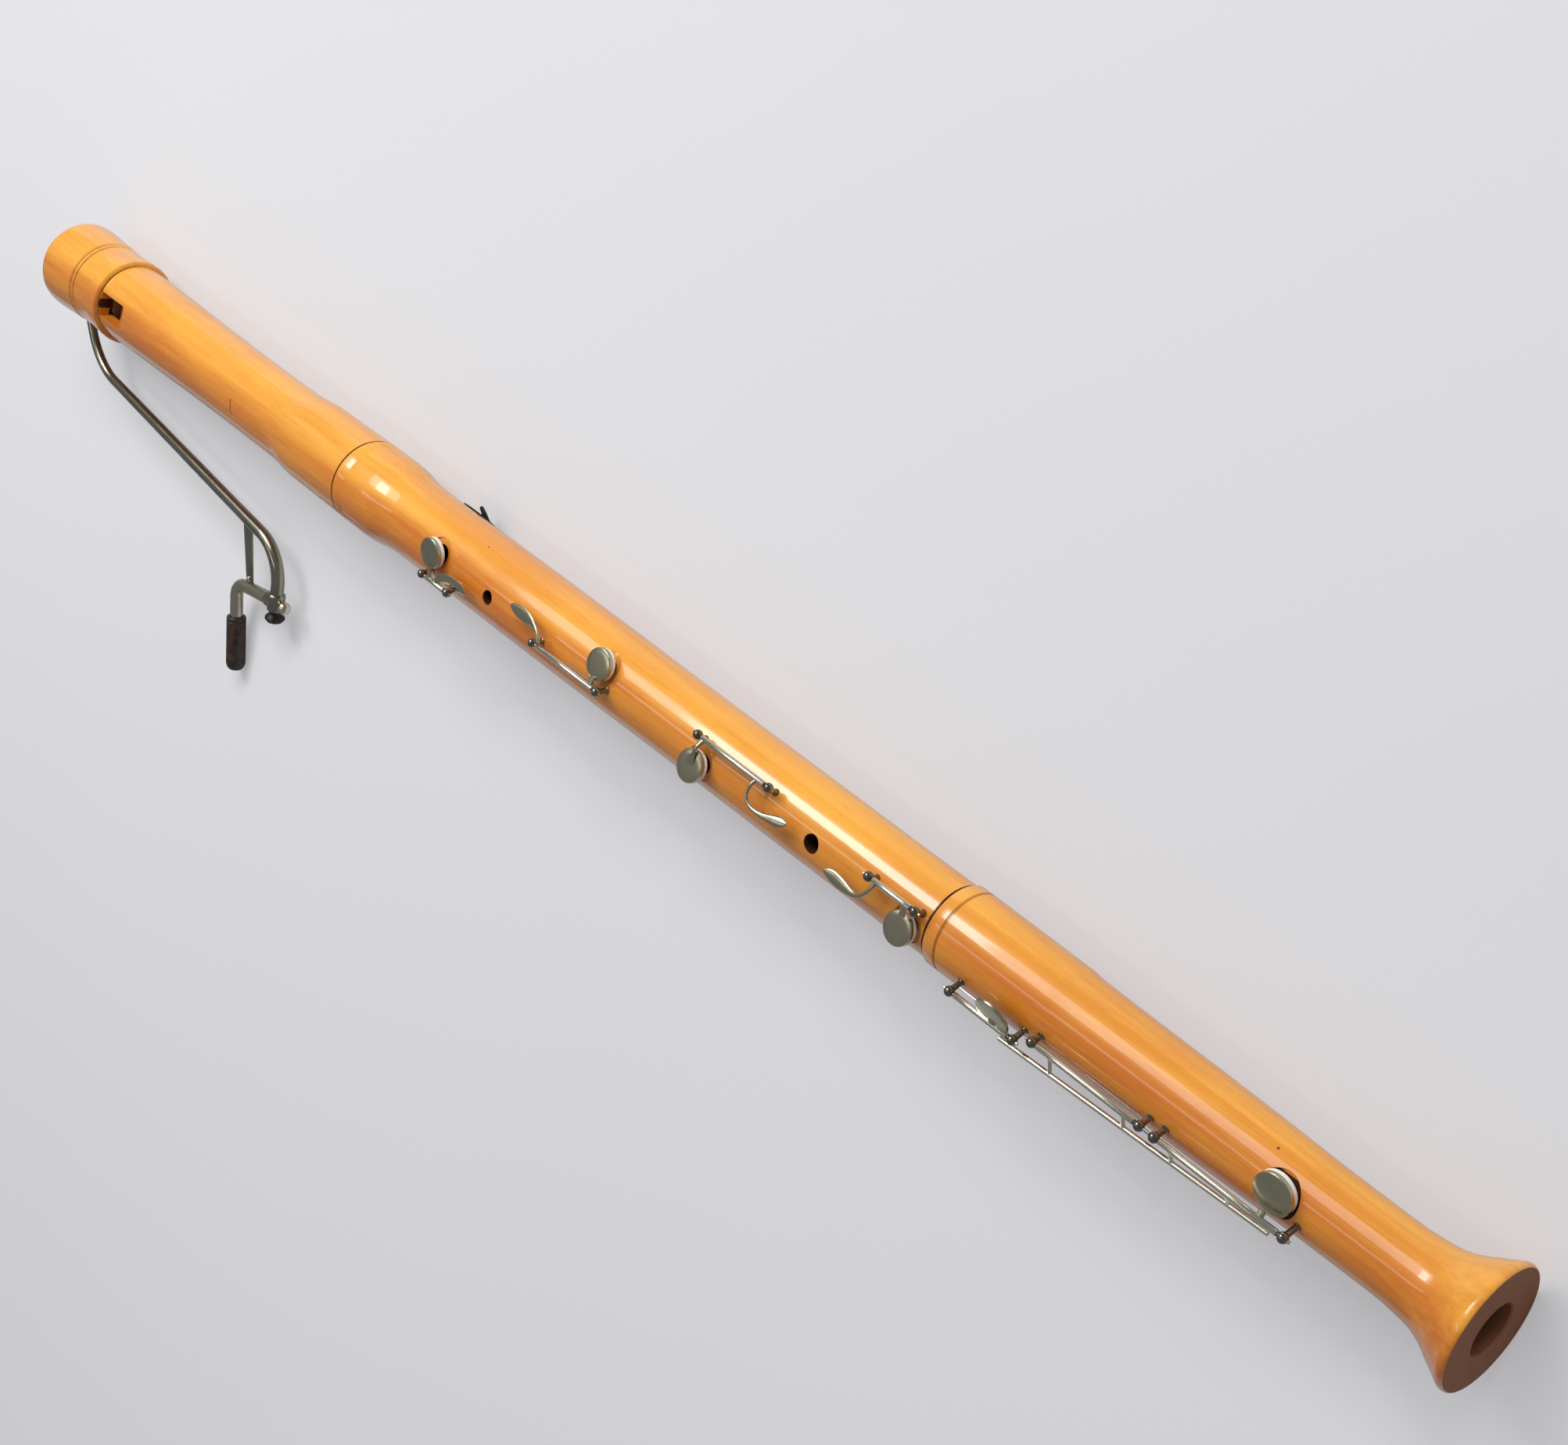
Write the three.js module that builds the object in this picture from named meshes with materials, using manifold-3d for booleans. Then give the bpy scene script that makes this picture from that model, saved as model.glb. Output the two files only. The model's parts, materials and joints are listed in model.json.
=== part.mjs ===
// Bass recorder: a wooden recorder in three joints and a cap, with a blowing crook and key work.
// Millimetres. The bell's end face is at x = 0 and the axis runs along +X to the cap. The finger
// holes face +Z and the crook stands on the +Y side. The instrument lies on its bell rim, its cap
// and the tip of its mouthpiece, with the floor at z = 0.
// Places round the body are angles from the top, positive towards the crook.

import * as THREE from 'three';
import { mergeVertices } from 'three/addons/utils/BufferGeometryUtils.js';
import Module from 'manifold-3d';

const wasm = await Module();
wasm.setup();

// Fits

const runningGap = 0.3;
const tenonPlay = 0.35;
const overrun = 2;

// Joints of the body, along the axis

const footLength = 242.4;
const middleLength = 409;
const headLength = 237.7;
const capLength = 62.2;

const footTop = footLength;
const middleStart = footTop + runningGap;
const middleEnd = middleStart + middleLength;
const headStart = middleEnd + runningGap;
const headEnd = headStart + headLength;
const capStart = headEnd + runningGap;
const capEnd = capStart + capLength;

// Bore, tenons and sockets

const bellBoreRadius = 10.2;
const footBoreRadius = 9.3;
const footBoreShare = 0.28;
const middleBoreLowRadius = 9.8;
const middleBoreHighRadius = 12.9;
const headBoreRadius = 13.2;

const lowerTenon = { radius: 13.6, length: 29.5, shoulder: 2.9 };
const upperTenon = { radius: 16.4, length: 33.5 };
const capTenon = { radius: 19.3, length: 38 };
const socketSpare = 0.5;
const capWall = 5;

const corkDepth = 1;
const corkWidth = 14;
const corkShare = 0.35;

// Outer sizes of the body: the walls over the sockets give the wide places, and the joints are
// turned slimmer between them

const footSocketWall = 3.65;
const headSocketWall = 4.25;
const capSideWall = 4.75;
const headRelief = 1.8;
const capRelief = 1.8;

const bellRadius = 24.4;
const bellLength = 34;
const footWaistRadius = 13.9;
const collarRadius = lowerTenon.radius + tenonPlay + footSocketWall;
const middleLowRadius = lowerTenon.radius + lowerTenon.shoulder;
const bulgeRadius = upperTenon.radius + tenonPlay + headSocketWall;
const headWaistRadius = bulgeRadius - headRelief;
const capRadius = capTenon.radius + tenonPlay + capSideWall;
const capWaistRadius = capRadius - capRelief;
const turnedSegments = 32;

// Windway, window and block

const windwayWidth = 13;
const windwayBelowBore = 1.2;
const windwayAboveBore = 1.4;
const blockLineInset = 1;
const cutUp = 11;
const rampLength = 14;
const edgeAboveBore = 0.7;
const blockOverhang = 3;

const windwayFloor = headBoreRadius - windwayBelowBore;
const windwayRoof = headBoreRadius + windwayAboveBore;
const edgeRadius = headBoreRadius + edgeAboveBore;

// Open finger holes and the thumb hole, through one wall of the middle joint, with their places as
// shares of its length

const upperHole = { radius: 3.1, angle: 0, alongShare: 0.693 };
const lowerHole = { radius: 3.8, angle: 0, alongShare: 0.1585 };
const thumbHole = { radius: 3.3, angle: 180, alongShare: 0.866 };
const fingerHoles = [upperHole, lowerHole, thumbHole];
const holeSides = 12;

// Key work

const tubeRadius = 1.6;
const pinRadius = 0.65;
const pinHoleRadius = 0.95;
const pinOverhang = 0.4;
const hingeHeight = 5.6;
const ballRadius = 2.3;
const neckRadius = 1.25;
const flangeRadius = 2.2;
const flangeThickness = 0.9;
const postClearance = 2.65;
const ballShares = [-0.84, 0, 0.6];

const armWidth = 2.6;
const armThickness = 1.3;
const plateThickness = 1.4;
const plateHeight = 3;

const seatMargin = 0.6;
const padThickness = 2.8;
const padInset = 0.9;
const cupRoof = 0.9;
const cupRimHeight = 1.4;
const cupBevel = 0.5;

const springRadius = 0.35;
const springHeight = 2.4;
const springShare = 0.55;
const catchThickness = 0.8;
const catchGap = 0.65;

const middleKeyOpening = 15;
const wideCup = { radius: 7.2, hole: 4.5 };
const lowestCup = { radius: 7, hole: 4.2 };
const slimPlate = { halfLength: 11, halfWidth: 3 };
const broadPlate = { halfLength: 8.5, halfWidth: 3.4 };

// Each key of the middle joint, with its places as shares of the joint's length from its lower end:
// the two posts, the cup and its arm, and the finger plate with its foot and arm. Angles are in
// degrees from the top.

const middleKeys = [
  {
    name: 'key_1', angles: { hinge: 21, cup: -8.5, plate: 3 }, cup: wideCup, plate: slimPlate,
    placeShares: {
      posts: [0.749, 0.798], cup: 0.7905, cupArm: 0.7845, plate: 0.738, foot: 0.7515, arm: 0.76,
    },
  },
  {
    name: 'key_3', angles: { hinge: 2.5, cup: -23, plate: -19.5 }, cup: wideCup, plate: slimPlate,
    placeShares: {
      posts: [0.4775, 0.59], cup: 0.492, cupArm: 0.49, plate: 0.611, foot: 0.5975, arm: 0.5755,
    },
  },
  {
    name: 'key_4', angles: { hinge: -27.5, cup: 7, plate: -7 }, cup: wideCup, plate: broadPlate,
    placeShares: {
      posts: [0.223, 0.331], cup: 0.3255, cupArm: 0.321, plate: 0.2035, foot: 0.216, arm: 0.2405,
    },
  },
  {
    name: 'key_6', angles: { hinge: -17.5, cup: 10.5, plate: 8 }, cup: lowestCup, plate: broadPlate,
    placeShares: {
      posts: [0.0105, 0.073], cup: 0.0235, cupArm: 0.0235, plate: 0.0975, foot: 0.084, arm: 0.0555,
    },
  },
];

// The foot key: a short touch lever whose tongue lifts the long bar of the cup lever. The places
// are shares of the foot joint's length.

const footTouch = { hingeAngle: 29.5, hingeHeight: 6.4, opening: 19 };
const touchPlate = { angle: 18, radius: 8, height: 5.2 };
const tongue = { width: 4, length: 9.2, slope: 8.6 };
const footCup = { hingeAngle: 21.5, hingeHeight: 5.8, opening: 14 };
const bigCup = { angle: -2, radius: 8, hole: 5.2 };
const longBar = { radius: 1.1, onTongue: 7, play: 0.38, lowReach: 5.9, lowDrop: 0.4 };
const footPlaceShares = {
  touchPosts: [0.7775, 0.9115], touchPlate: 0.819, tongue: 0.8,
  cupPosts: [0.2725, 0.5055, 0.534, 0.7465], cup: 0.3155,
  bar: [0.301, 0.8125], barArms: [0.3715, 0.4745, 0.565, 0.7095],
};

// Sling plate and loop on the back

const slingPlate = { alongShare: 0.832, angle: -140, length: 27, width: 12, thickness: 1.2 };
const slingLoop = { radius: 3.6, wire: 1, offset: -1 };
const slingScrew = { headRadius: 1.7, headHeight: 0.7, shankRadius: 0.9, shankLength: 5, inset: 3 };

// Crook, in a plane through the axis: x along the instrument, r out from its axis.
// It rises from its socket in the cap, runs down beside the head and drops to the drain elbow.
// Angles are from the outward direction, positive towards the cap.

const crookSocket = { alongShare: 0.82, depth: 2.9, tilt: -30, inner: 5, outer: 5, radius: 4.6, bore: 2.75 };
const crookTube = { startRadius: 2.4, endRadius: 3.5, wall: 0.6, inSocket: 4, inElbow: 2.2 };
const crookRise = { length: 32.6, bend: 35 };
const crookRun = { length: 202.4, slope: 6.2 };
const crookDrop = { length: 28.4, bend: 22 };

const elbow = { radius: 4.6, below: 4.8, above: 4.8, bore: 2.3 };
const elbowBranch = { radius: 4.2, length: 7.5, tilt: 79.5 };
const elbowBall = { radius: 3.4, seat: 3 };
const stopper = { plugRadius: 1.9, plugLength: 2, neckRadius: 2.9, rimRadius: 5.2, height: 7.1 };
const stopperShares = { neck: 0.15, rimLow: 0.5, rimHigh: 0.64, crown: 0.9, crownRadius: 0.7 };
const mouthPipe = { radius: 3.45, wall: 0.6, length: 40.2, bend: 8.5, tilt: -6.5, inElbow: 3 };
const mouthpiece = { start: 19.5, length: 30.6, radius: 5.15, bore: 1.7, socketDepth: 8, rounding: 1.1 };
const brace = { onCrook: 33.5, onPipe: 26, width: 6, thickness: 1.4 };
const rivet = { radius: 1.5, height: 0.8, shankRadius: 0.6, fromPipe: 5.4, crownShare: 0.7 };
const tubeSides = 10;
const boreSides = 8;
const bendDivisions = 8;

// Finishes

const wood = { color: 0xc98538, roughness: 0.25, metalness: 0 };
const cedar = { color: 0xa06a3c, roughness: 0.7, metalness: 0 };
const cork = { color: 0xb08a5c, roughness: 0.9, metalness: 0 };
const nickel = { color: 0x9a9a86, roughness: 0.25, metalness: 1 };
const steel = { color: 0x6e7076, roughness: 0.35, metalness: 1 };
const darkMetal = { color: 0x3c3a38, roughness: 0.4, metalness: 1 };
const leather = { color: 0xc8b89a, roughness: 0.9, metalness: 0 };
const ebonite = { color: 0x2a1a14, roughness: 0.4, metalness: 0 };

// Small helpers for angles, solids and meshes

const radians = THREE.MathUtils.degToRad;
const quarterTurn = 90;

function solidOf(geometry) {
  const bare = geometry.index ? geometry.toNonIndexed() : geometry.clone();
  bare.deleteAttribute('normal');
  bare.deleteAttribute('uv');
  const merged = mergeVertices(bare);
  const corners = merged.index.array;
  const kept = [];
  for (let i = 0; i < corners.length; i += 3) {
    const [a, b, c] = [corners[i], corners[i + 1], corners[i + 2]];
    if (a !== b && b !== c && c !== a) kept.push(a, b, c);
  }
  return new wasm.Manifold(new wasm.Mesh({
    numProp: 3,
    vertProperties: new Float32Array(merged.attributes.position.array),
    triVerts: new Uint32Array(kept),
  }));
}

function geometryOf(solid) {
  const { vertProperties, triVerts } = solid.getMesh();
  const geometry = new THREE.BufferGeometry();
  geometry.setAttribute('position', new THREE.BufferAttribute(vertProperties, 3));
  geometry.setIndex(new THREE.BufferAttribute(triVerts, 1));
  geometry.computeVertexNormals();
  return geometry;
}

function pieceOf(name, solid, finish) {
  const mesh = new THREE.Mesh(geometryOf(solid), new THREE.MeshStandardMaterial(finish));
  mesh.name = name;
  return mesh;
}

function moved(geometry, x, y, z) {
  geometry.translate(x, y, z);
  return solidOf(geometry);
}

// A group whose +Z points out from the axis at the given angle from the top.

function stationAt(angle) {
  const group = new THREE.Group();
  group.rotation.x = -radians(angle);
  return group;
}

// A turned solid along X, from points (radius, x) that run from the bell towards the cap.

function turned(outer, bore, segments = turnedSegments) {
  const profile = [...outer, ...[...bore].reverse(), outer[0]];
  return new THREE.LatheGeometry(profile, segments).rotateZ(-Math.PI / 2);
}

// A small solid of revolution about +Z, from points (radius, height) that start and end on the axis.

function spun(points, segments) {
  const profile = points.map(([radius, height]) => new THREE.Vector2(radius, height));
  return new THREE.LatheGeometry(profile, segments).rotateX(Math.PI / 2);
}

function rodAlongX(radius, start, end, sides) {
  const rod = new THREE.CylinderGeometry(radius, radius, end - start, sides).rotateZ(Math.PI / 2);
  return rod.translate((start + end) / 2, 0, 0);
}

function rodBetween(a, b, radius, sides) {
  const rod = new THREE.CylinderGeometry(radius, radius, a.distanceTo(b), sides);
  const along = b.clone().sub(a).normalize();
  rod.applyQuaternion(new THREE.Quaternion().setFromUnitVectors(new THREE.Vector3(0, 1, 0), along));
  const middle = a.clone().add(b).multiplyScalar(0.5);
  return moved(rod, middle.x, middle.y, middle.z);
}

// A flat bar between two points, with its thin side towards +Z.

function barBetween(a, b, width, thickness) {
  const along = b.clone().sub(a);
  const length = along.length();
  along.normalize();
  const up = new THREE.Vector3(0, 0, 1);
  up.addScaledVector(along, -up.dot(along)).normalize();
  const across = up.clone().cross(along);
  const box = new THREE.BoxGeometry(length, width, thickness);
  const middle = a.clone().add(b).multiplyScalar(0.5);
  box.applyMatrix4(new THREE.Matrix4().makeBasis(along, across, up).setPosition(middle));
  return solidOf(box);
}

// Crook pieces lie in the crook's plane, with x along the instrument and z out from its axis

function inPlane(x, r) {
  return new THREE.Vector3(x, 0, r);
}

function directionAt(tilt) {
  return inPlane(Math.sin(radians(tilt)), Math.cos(radians(tilt)));
}

function tiltedTo(geometry, tilt, place) {
  geometry.rotateY(radians(tilt));
  return geometry.translate(place.x, place.y, place.z);
}

const socketCentre = inPlane(
  capStart + crookSocket.alongShare * capLength, capRadius - crookSocket.depth);
const socketDirection = directionAt(crookSocket.tilt);
const runDirection = directionAt(crookRun.slope - quarterTurn);
const upperCorner = socketCentre.clone().addScaledVector(socketDirection, crookRise.length);
const lowerCorner = upperCorner.clone().addScaledVector(runDirection, crookRun.length);
const crookDropX = lowerCorner.x;
const elbowRadius = lowerCorner.z + crookDrop.length;
const elbowCentre = inPlane(crookDropX, elbowRadius);
const branchDirection = directionAt(elbowBranch.tilt);
const mouthDirection = directionAt(mouthPipe.tilt);
const mouthCorner = elbowCentre.clone().addScaledVector(branchDirection, mouthPipe.length);

// The crook turns about the body until the tip of the mouthpiece is as low as the bell rim.

const mouthpieceEnd = mouthCorner.clone().addScaledVector(
  mouthDirection, mouthpiece.start + mouthpiece.length - mouthpiece.rounding);
const crookAngle = THREE.MathUtils.radToDeg(
  Math.acos(-bellRadius / Math.hypot(mouthpieceEnd.z, mouthpiece.radius))
  - Math.atan2(mouthpiece.radius, mouthpieceEnd.z));

// Outlines from the lower to the upper end, as shares of the stretch's length and of the way from
// its slim to its wide radius. A notch is a decorative groove.

const bellOutlineShares = [
  [0, 0.923], [0.012, 0.981], [0.047, 1], [0.094, 0.963], [0.162, 0.828], [0.291, 0.6], [0.432, 0.342],
  [0.577, 0.161], [0.718, 0.075], [1, 0],
];
const footOutlineShares = [
  [0.048, 0], [0.173, 0.068], [0.273, 0.246], [0.437, 0.43], [0.605, 0.568], [0.663, 0.662], [0.706, 0.786],
  [0.753, 0.838], [0.869, 0.932], [0.965, 0.992], [0.969, 0.88], [0.973, 1], [0.996, 1], [1, 0.84],
];
const middleOutlineShares = [
  [0, 0], [0.086, 0.02], [0.214, 0.1], [0.409, 0.202], [0.515, 0.309], [0.698, 0.398], [0.867, 0.398],
  [0.889, 0.51], [0.923, 0.822], [0.948, 0.953], [0.967, 1], [0.982, 1], [0.984, 0.916], [0.986, 1],
  [0.998, 1], [1, 0.911],
];
const headOutlineShares = [
  [0, 0.778], [0.003, 1], [0.123, 0.967], [0.178, 0.883], [0.216, 0.661], [0.254, 0.217], [0.3, 0.033],
  [0.401, 0], [0.616, 0.217], [0.784, 0.617], [0.956, 1], [1, 1.05],
];
const capOutlineShares = [
  [0, 0.228], [0.019, 0.39], [0.116, 0.336], [0.277, 0], [0.405, 0.146], [0.42, -0.139], [0.435, 0.187],
  [0.455, 0.214], [0.47, -0.071], [0.485, 0.268], [0.63, 0.607], [0.807, 0.946], [0.887, 1], [0.952, 0.837],
  [0.99, 0.105], [1, -0.887],
];

function outlineOf(start, length, slim, wide, shares) {
  return shares.map(([along, out]) => new THREE.Vector2(slim + (wide - slim) * out, start + along * length));
}

const footOutline = [
  ...outlineOf(0, bellLength, footWaistRadius, bellRadius, bellOutlineShares),
  ...outlineOf(bellLength, footLength - bellLength, footWaistRadius, collarRadius, footOutlineShares),
];
const middleOutline = outlineOf(
  middleStart, middleLength, middleLowRadius, bulgeRadius, middleOutlineShares);
const headOutline = outlineOf(headStart, headLength, headWaistRadius, bulgeRadius, headOutlineShares);
const capOutline = outlineOf(capStart, capLength, capWaistRadius, capRadius, capOutlineShares);

const alongFoot = (share) => share * footLength;
const alongMiddle = (share) => middleStart + share * middleLength;

function surfaceRadius(outline, x) {
  const next = outline.findIndex((point) => point.y > x);
  const [low, high] = [outline[next - 1], outline[next]];
  return low.x + (high.x - low.x) * (x - low.y) / (high.y - low.y);
}

const slingX = alongMiddle(slingPlate.alongShare);
const slingSeat = surfaceRadius(middleOutline, slingX) + runningGap;
const slingScrewTop = slingSeat + slingPlate.thickness + runningGap;
const slingScrewPlaces = [
  slingX - slingPlate.length / 2 + slingScrew.inset,
  slingX + slingPlate.length / 2 - slingScrew.inset,
];

// Where each key stands: its posts, hinge, cup and finger plate

function hingeOver(outline, posts, hingeAngle, height) {
  const middle = (posts[0] + posts.at(-1)) / 2;
  return { posts, hingeAngle, hingeRadius: surfaceRadius(outline, middle) + height };
}

function middleKeyPlaces({ name, angles, cup, plate, placeShares }) {
  const places = hingeOver(middleOutline, placeShares.posts.map(alongMiddle), angles.hinge, hingeHeight);
  return {
    name,
    ...places,
    cup: {
      ...cup, x: alongMiddle(placeShares.cup), angle: angles.cup, armX: alongMiddle(placeShares.cupArm),
    },
    plate: {
      ...plate, x: alongMiddle(placeShares.plate), angle: angles.plate,
      armX: alongMiddle(placeShares.arm), footX: alongMiddle(placeShares.foot),
    },
  };
}

const placedKeys = middleKeys.map(middleKeyPlaces);
const footCupX = alongFoot(footPlaceShares.cup);
const touchHinge = hingeOver(
  footOutline, footPlaceShares.touchPosts.map(alongFoot), footTouch.hingeAngle, footTouch.hingeHeight);
const cupHinge = {
  ...hingeOver(footOutline, footPlaceShares.cupPosts.map(alongFoot), footCup.hingeAngle, footCup.hingeHeight),
  cup: { ...bigCup, x: footCupX, armX: footCupX },
};

// Tenons with a turned groove for their cork ring, from the shoulder outwards

function tenonPoints(tenon, shoulder, direction) {
  const grooveStart = shoulder + direction * tenon.length * corkShare;
  const grooveEnd = grooveStart + direction * corkWidth;
  const end = shoulder + direction * tenon.length;
  const bottom = tenon.radius - corkDepth;
  return [
    [tenon.radius, shoulder], [tenon.radius, grooveStart], [bottom, grooveStart],
    [bottom, grooveEnd], [tenon.radius, grooveEnd], [tenon.radius, end],
  ].map(([radius, x]) => new THREE.Vector2(radius, x));
}

function corkRing(name, tenon, shoulder, direction) {
  const grooveStart = shoulder + direction * tenon.length * corkShare;
  const nearFace = grooveStart + direction * runningGap;
  const farFace = grooveStart + direction * (corkWidth - runningGap);
  const low = Math.min(nearFace, farFace);
  const high = Math.max(nearFace, farFace);
  const outer = tenon.radius + tenonPlay - runningGap;
  const inner = tenon.radius - corkDepth + runningGap;
  const ringAt = (radius) => [new THREE.Vector2(radius, low), new THREE.Vector2(radius, high)];
  return pieceOf(name, solidOf(turned(ringAt(outer), ringAt(inner))), cork);
}

// A hole drilled in from outside at one angle, as deep as the bore

function drilled(solid, { x, angle, radius }) {
  const drill = new THREE.CylinderGeometry(radius, radius, bellRadius + overrun, holeSides);
  drill.rotateX(Math.PI / 2).translate(x, 0, (bellRadius + overrun) / 2);
  drill.rotateX(-radians(angle));
  return solid.subtract(solidOf(drill));
}

// A blind hole for a sling screw, on the back of the middle joint

function screwHole(x) {
  const radius = slingScrew.shankRadius + runningGap;
  const depth = slingScrew.shankLength + runningGap;
  const hole = new THREE.CylinderGeometry(radius, radius, depth, boreSides).rotateX(Math.PI / 2);
  hole.translate(x, 0, slingScrewTop - depth / 2).rotateX(-radians(slingPlate.angle));
  return solidOf(hole);
}

// The flat seat that a key's pad closes on, milled round its hole

function seatRadius(outline, cup) {
  return Math.sqrt(surfaceRadius(outline, cup.x) ** 2 - (cup.radius + seatMargin) ** 2);
}

function milledSeat(solid, outline, cup) {
  const floor = seatRadius(outline, cup);
  const cutter = new THREE.CylinderGeometry(
    cup.radius + seatMargin, cup.radius + seatMargin, bellRadius - floor, 2 * holeSides);
  cutter.rotateX(Math.PI / 2).translate(cup.x, 0, (bellRadius + floor) / 2);
  cutter.rotateX(-radians(cup.angle));
  return drilled(solid.subtract(solidOf(cutter)), { x: cup.x, angle: cup.angle, radius: cup.hole });
}

// Foot joint: bell, body and the socket for the middle joint

function footJoint() {
  const socketBottom = footTop - lowerTenon.length - socketSpare;
  const socketRadius = lowerTenon.radius + tenonPlay;
  const bore = [
    [bellBoreRadius, 0], [footBoreRadius, alongFoot(footBoreShare)], [middleBoreLowRadius, socketBottom],
    [socketRadius, socketBottom], [socketRadius, footTop],
  ].map(([radius, x]) => new THREE.Vector2(radius, x));
  const body = solidOf(turned(footOutline, bore));
  return pieceOf('foot_joint', milledSeat(body, footOutline, cupHinge.cup), wood);
}

// Middle joint: two tenons, the finger and thumb holes, and the seats of its four keys

function middleJoint() {
  const outer = [
    ...tenonPoints(lowerTenon, middleStart, -1).reverse(), ...middleOutline,
    ...tenonPoints(upperTenon, middleEnd, 1),
  ];
  const bore = [
    new THREE.Vector2(middleBoreLowRadius, middleStart - lowerTenon.length),
    new THREE.Vector2(middleBoreHighRadius, middleEnd + upperTenon.length),
  ];
  let body = solidOf(turned(outer, bore));
  for (const hole of fingerHoles) body = drilled(body, { ...hole, x: alongMiddle(hole.alongShare) });
  for (const { cup } of placedKeys) body = milledSeat(body, middleOutline, cup);
  for (const place of slingScrewPlaces) body = body.subtract(screwHole(place));
  return pieceOf('middle_joint', body, wood);
}

// Head joint: socket, bore, window with its sloping edge, windway roof and the cap's tenon

const blockLine = headEnd - blockLineInset;

function headJoint() {
  const socketTop = headStart + upperTenon.length + socketSpare;
  const socketRadius = upperTenon.radius + tenonPlay;
  const tenonEnd = headEnd + capTenon.length;
  const outer = [...headOutline, ...tenonPoints(capTenon, headEnd, 1)];
  const bore = [
    [socketRadius, headStart], [socketRadius, socketTop], [headBoreRadius, socketTop],
    [headBoreRadius, tenonEnd],
  ].map(([radius, x]) => new THREE.Vector2(radius, x));

  const edge = blockLine - cutUp;
  const above = bulgeRadius + overrun;
  const windowShape = new THREE.Shape([
    new THREE.Vector2(edge - rampLength, bulgeRadius), new THREE.Vector2(edge, edgeRadius),
    new THREE.Vector2(edge, 0), new THREE.Vector2(blockLine, 0), new THREE.Vector2(blockLine, above),
    new THREE.Vector2(edge - rampLength, above),
  ]);
  const windowCut = new THREE.ExtrudeGeometry(windowShape, { depth: windwayWidth, bevelEnabled: false });
  windowCut.rotateX(Math.PI / 2).translate(0, windwayWidth / 2, 0);
  const slotLength = tenonEnd + overrun - blockLine;
  const slot = new THREE.BoxGeometry(slotLength, windwayWidth, windwayRoof);
  const body = solidOf(turned(outer, bore)).subtract(solidOf(windowCut))
    .subtract(moved(slot, blockLine + slotLength / 2, 0, windwayRoof / 2));
  return pieceOf('head_joint', body, wood);
}

// Block: the plug that floors the windway

function windwayBlock() {
  const radius = headBoreRadius - runningGap;
  const end = headEnd + capTenon.length + blockOverhang;
  const plug = solidOf(rodAlongX(radius, blockLine, end, turnedSegments));
  const slab = new THREE.BoxGeometry(end - blockLine + overrun, 2 * radius, radius);
  const shaving = moved(slab, (blockLine + end) / 2, 0, windwayFloor + radius / 2);
  return pieceOf('windway_block', plug.subtract(shaving), cedar);
}

// Cap: a turned cup over the head's tenon, with the slanting hole for the crook's socket

function headCap() {
  const sleeveRadius = capTenon.radius + tenonPlay;
  const bore = [
    [sleeveRadius, capStart], [sleeveRadius, capEnd - capWall], [0, capEnd - capWall],
  ].map(([radius, x]) => new THREE.Vector2(radius, x));
  const holeRadius = crookSocket.radius + runningGap;
  const holeLength = crookSocket.inner + crookSocket.outer + 2 * overrun;
  const hole = new THREE.CylinderGeometry(holeRadius, holeRadius, holeLength, holeSides);
  const cutter = tiltedTo(hole.rotateX(Math.PI / 2), crookSocket.tilt, socketCentre);
  cutter.rotateX(-radians(crookAngle));
  const outer = [...capOutline, new THREE.Vector2(0, capEnd)];
  return pieceOf('head_cap', solidOf(turned(outer, bore)).subtract(solidOf(cutter)), wood);
}

// Posts: a foot on the wood, a neck, and a ball that the hinge pin passes through

function post(name, outline, x, angle, hingeRadius) {
  const foot = surfaceRadius(outline, x) + runningGap;
  const profile = [
    [0, foot], [flangeRadius, foot], [flangeRadius, foot + flangeThickness],
    [neckRadius, foot + 2 * flangeThickness],
    ...ballShares.map((share) => [ballRadius * Math.sqrt(1 - share ** 2), hingeRadius + share * ballRadius]),
    [0, hingeRadius + ballRadius],
  ];
  const body = spun(profile, boreSides);
  const hole = rodAlongX(pinHoleRadius, -ballRadius - overrun, ballRadius + overrun, boreSides);
  const mesh = pieceOf(name, solidOf(body).subtract(moved(hole, 0, 0, hingeRadius)), nickel);
  mesh.position.x = x;
  const station = stationAt(angle);
  station.add(mesh);
  return station;
}

function hingePin(name, posts, angle, hingeRadius) {
  const start = Math.min(...posts) - ballRadius - pinOverhang;
  const end = Math.max(...posts) + ballRadius + pinOverhang;
  const mesh = pieceOf(name, solidOf(rodAlongX(pinRadius, start, end, boreSides)), steel);
  mesh.position.z = hingeRadius;
  const station = stationAt(angle);
  station.add(mesh);
  return station;
}

// Needle spring: pushed into one post's neck, it runs below the tube to the lever's catch

function needleSpring(name, outline, [from, to], angle) {
  const start = from + Math.sign(to - from) * (neckRadius + runningGap);
  const end = from + (to - from) * springShare;
  const rod = rodAlongX(springRadius, Math.min(start, end), Math.max(start, end), boreSides);
  const mesh = pieceOf(name, solidOf(rod), steel);
  mesh.position.z = surfaceRadius(outline, from) + springHeight;
  const station = stationAt(angle);
  station.add(mesh);
  return station;
}

// Levers are made in the frame of their hinge, closed, and then opened about it

function hingePoint(hinge, x, r, angle) {
  const turn = radians(angle - hinge.hingeAngle);
  return new THREE.Vector3(x, r * Math.sin(turn), r * Math.cos(turn) - hinge.hingeRadius);
}

function ontoStation(geometry, hinge, x, r, angle) {
  geometry.rotateX(-radians(angle - hinge.hingeAngle));
  const place = hingePoint(hinge, x, r, angle);
  return geometry.translate(place.x, place.y, place.z);
}

function hingeTube(start, end) {
  const tube = solidOf(rodAlongX(tubeRadius, start + postClearance, end - postClearance, tubeSides));
  return tube.subtract(pinBore(start, end));
}

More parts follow.
